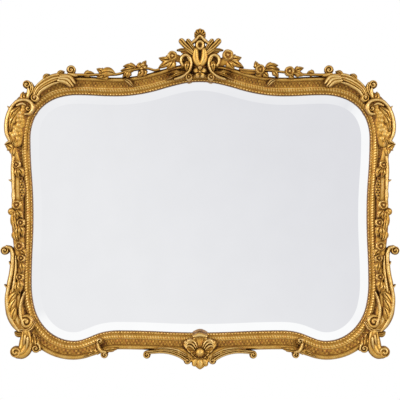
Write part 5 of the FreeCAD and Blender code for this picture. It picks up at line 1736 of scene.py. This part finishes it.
def add_floor(settings):
    """Pale floor that runs into the white background and keeps a soft shadow."""
    material, tree, shader = new_material("floor_paint")
    dark = toned(settings.floor, FLOOR_TONE_SHARE)
    colour = ramp(tree, noise(tree, FLOOR_SCALE, detail=6), ((0.3, dark), (0.7, settings.floor)))
    set_finish(tree, shader, colour, roughness=0.9)
    white = tree.nodes.new("ShaderNodeEmission")
    share = sums(tree, "MULTIPLY", seen_directly(tree), FLOOR_WHITE_SHARE)
    mix_shaders(tree, share, shader, white, "Material Output")
    half = settings.floor_size / 2
    low = CAD_BOX[0][2] - settings.floor_drop
    corners = ((-half, -half), (half, -half), (half, half), (-half, half))
    sheet_object("floor", [(x, y, low) for x, y in corners], material)


def faded(tree, value, low, high):
    """0 below low, 1 above high, smooth between."""
    node = tree.nodes.new("ShaderNodeMapRange")
    node.interpolation_type = "SMOOTHSTEP"
    node.inputs["From Min"].default_value = low
    node.inputs["From Max"].default_value = high
    tree.links.new(value, node.inputs["Value"])
    return node.outputs["Result"]


def add_card(settings):
    """Pale card behind the camera, which the plate reflects. It fades to white towards its sides."""
    material, tree, _ = new_material("card_paint")
    place = tree.nodes.new("ShaderNodeTexCoord")
    parts = tree.nodes.new("ShaderNodeSeparateXYZ")
    tree.links.new(place.outputs["Object"], parts.inputs["Vector"])
    x, z = parts.outputs["X"], parts.outputs["Z"]
    fades = (
        (x, RIGHT_FADE_SHARES),
        (sums(tree, "MULTIPLY", x, -1), LEFT_FADE_SHARES),
        (sums(tree, "MULTIPLY", z, -1), LOW_FADE_SHARES),
        (z, HIGH_FADE_SHARES),
    )
    white = 0
    for way, (start, end, strength) in fades:
        fade = faded(tree, way, start * settings.view_width, end * settings.view_width)
        white = sums(tree, "MAXIMUM", sums(tree, "MULTIPLY", fade, strength), white)
    slope = sums(tree, "MULTIPLY_ADD", z, SLOPE_HEIGHT_SHARE, x)
    dimness = faded(tree, slope, *(share * settings.view_width for share in SLOPE_SHARES))
    shaded = mixed(tree, dimness, settings.card, settings.card_dim)
    tone = tree.nodes.new("ShaderNodeEmission")
    tree.links.new(mixed(tree, white, shaded, (1, 1, 1)), tone.inputs["Color"])
    tree.links.new(tone.outputs[0], tree.nodes["Material Output"].inputs["Surface"])
    back = -settings.distance * CARD_PLACE_SHARE
    wide = settings.view_width * CARD_WIDTH_SHARE
    high = settings.view_width * CARD_HEIGHT_SHARE
    corners = ((-wide, -high), (wide, -high), (wide, high), (-wide, high))
    card = sheet_object("card", [(x, back, z) for x, z in corners], material)
    card.visible_camera = False
    card.visible_diffuse = False


def add_sky(scene, settings):
    """White all round for the eye and for reflections, and a lower even light."""
    world = bpy.data.worlds.new("studio")
    world.use_nodes = True
    tree = world.node_tree
    light = tree.nodes["Background"]
    white = tree.nodes.new("ShaderNodeBackground")
    for background, strength in ((light, settings.sky), (white, 1)):
        background.inputs["Color"].default_value = (1, 1, 1, 1)
        background.inputs["Strength"].default_value = strength
    mix_shaders(tree, seen_directly(tree), light, white, "World Output")
    scene.world = world


def add_lamp(name, place, size, power):
    """A soft square lamp that faces the mirror."""
    lamp = bpy.data.lights.new(name, "AREA")
    lamp.energy = power
    lamp.size = size
    holder = bpy.data.objects.new(name, lamp)
    holder.location = place
    holder.rotation_euler = (-holder.location).to_track_quat("-Z", "Y").to_euler()
    bpy.context.scene.collection.objects.link(holder)


def add_camera(scene, settings):
    """Camera square to the mirror, at the photograph's framing."""
    lens = bpy.data.cameras.new("camera")
    lens.sensor_width = SENSOR_WIDTH
    lens.lens = SENSOR_WIDTH * settings.distance / settings.view_width
    camera = bpy.data.objects.new("camera", lens)
    camera.location = (0, -settings.distance - RAIL_DEPTH, settings.view_up)
    camera.rotation_euler = (math.radians(90), 0, 0)
    scene.collection.objects.link(camera)
    scene.camera = camera


class MIRROR_PT_panel(bpy.types.Panel):
    """The mirror's steps and settings"""
    bl_label = "Mirror"
    bl_space_type = "VIEW_3D"
    bl_region_type = "UI"
    bl_category = "Mirror"

    def draw(self, context):
        for operator in OPERATORS:
            self.layout.operator(operator.bl_idname)
        for group in MIRROR_PG_settings.__annotations__:
            settings = getattr(context.scene.mirror, group)
            box = self.layout.box()
            for name in type(settings).__annotations__:
                box.prop(settings, name)


OPERATORS = (
    MIRROR_OT_moulding, MIRROR_OT_crest, MIRROR_OT_garlands, MIRROR_OT_corners, MIRROR_OT_sides,
    MIRROR_OT_base, MIRROR_OT_plate, MIRROR_OT_back, MIRROR_OT_stage,
)
GROUPS = (
    MIRROR_PG_moulding, MIRROR_PG_gilt, MIRROR_PG_plate, MIRROR_PG_back, MIRROR_PG_stage,
    MIRROR_PG_settings,
)
CLASSES = GROUPS + OPERATORS + (MIRROR_PT_panel,)


def register():
    """Register the classes and hang the settings on the scene."""
    for cls in CLASSES:
        bpy.utils.register_class(cls)
    bpy.types.Scene.mirror = PointerProperty(type=MIRROR_PG_settings)


def unregister():
    """Take the settings and the classes away again."""
    del bpy.types.Scene.mirror
    for cls in reversed(CLASSES):
        bpy.utils.unregister_class(cls)


def main():
    """Build the dressed mirror."""
    register()
    bpy.ops.mirror.moulding()
    bpy.ops.mirror.crest()
    bpy.ops.mirror.garlands()
    bpy.ops.mirror.corners()
    bpy.ops.mirror.sides()
    bpy.ops.mirror.base()
    bpy.ops.mirror.plate()
    bpy.ops.mirror.back()
    bpy.ops.mirror.stage()


if __name__ == "__main__":
    main()
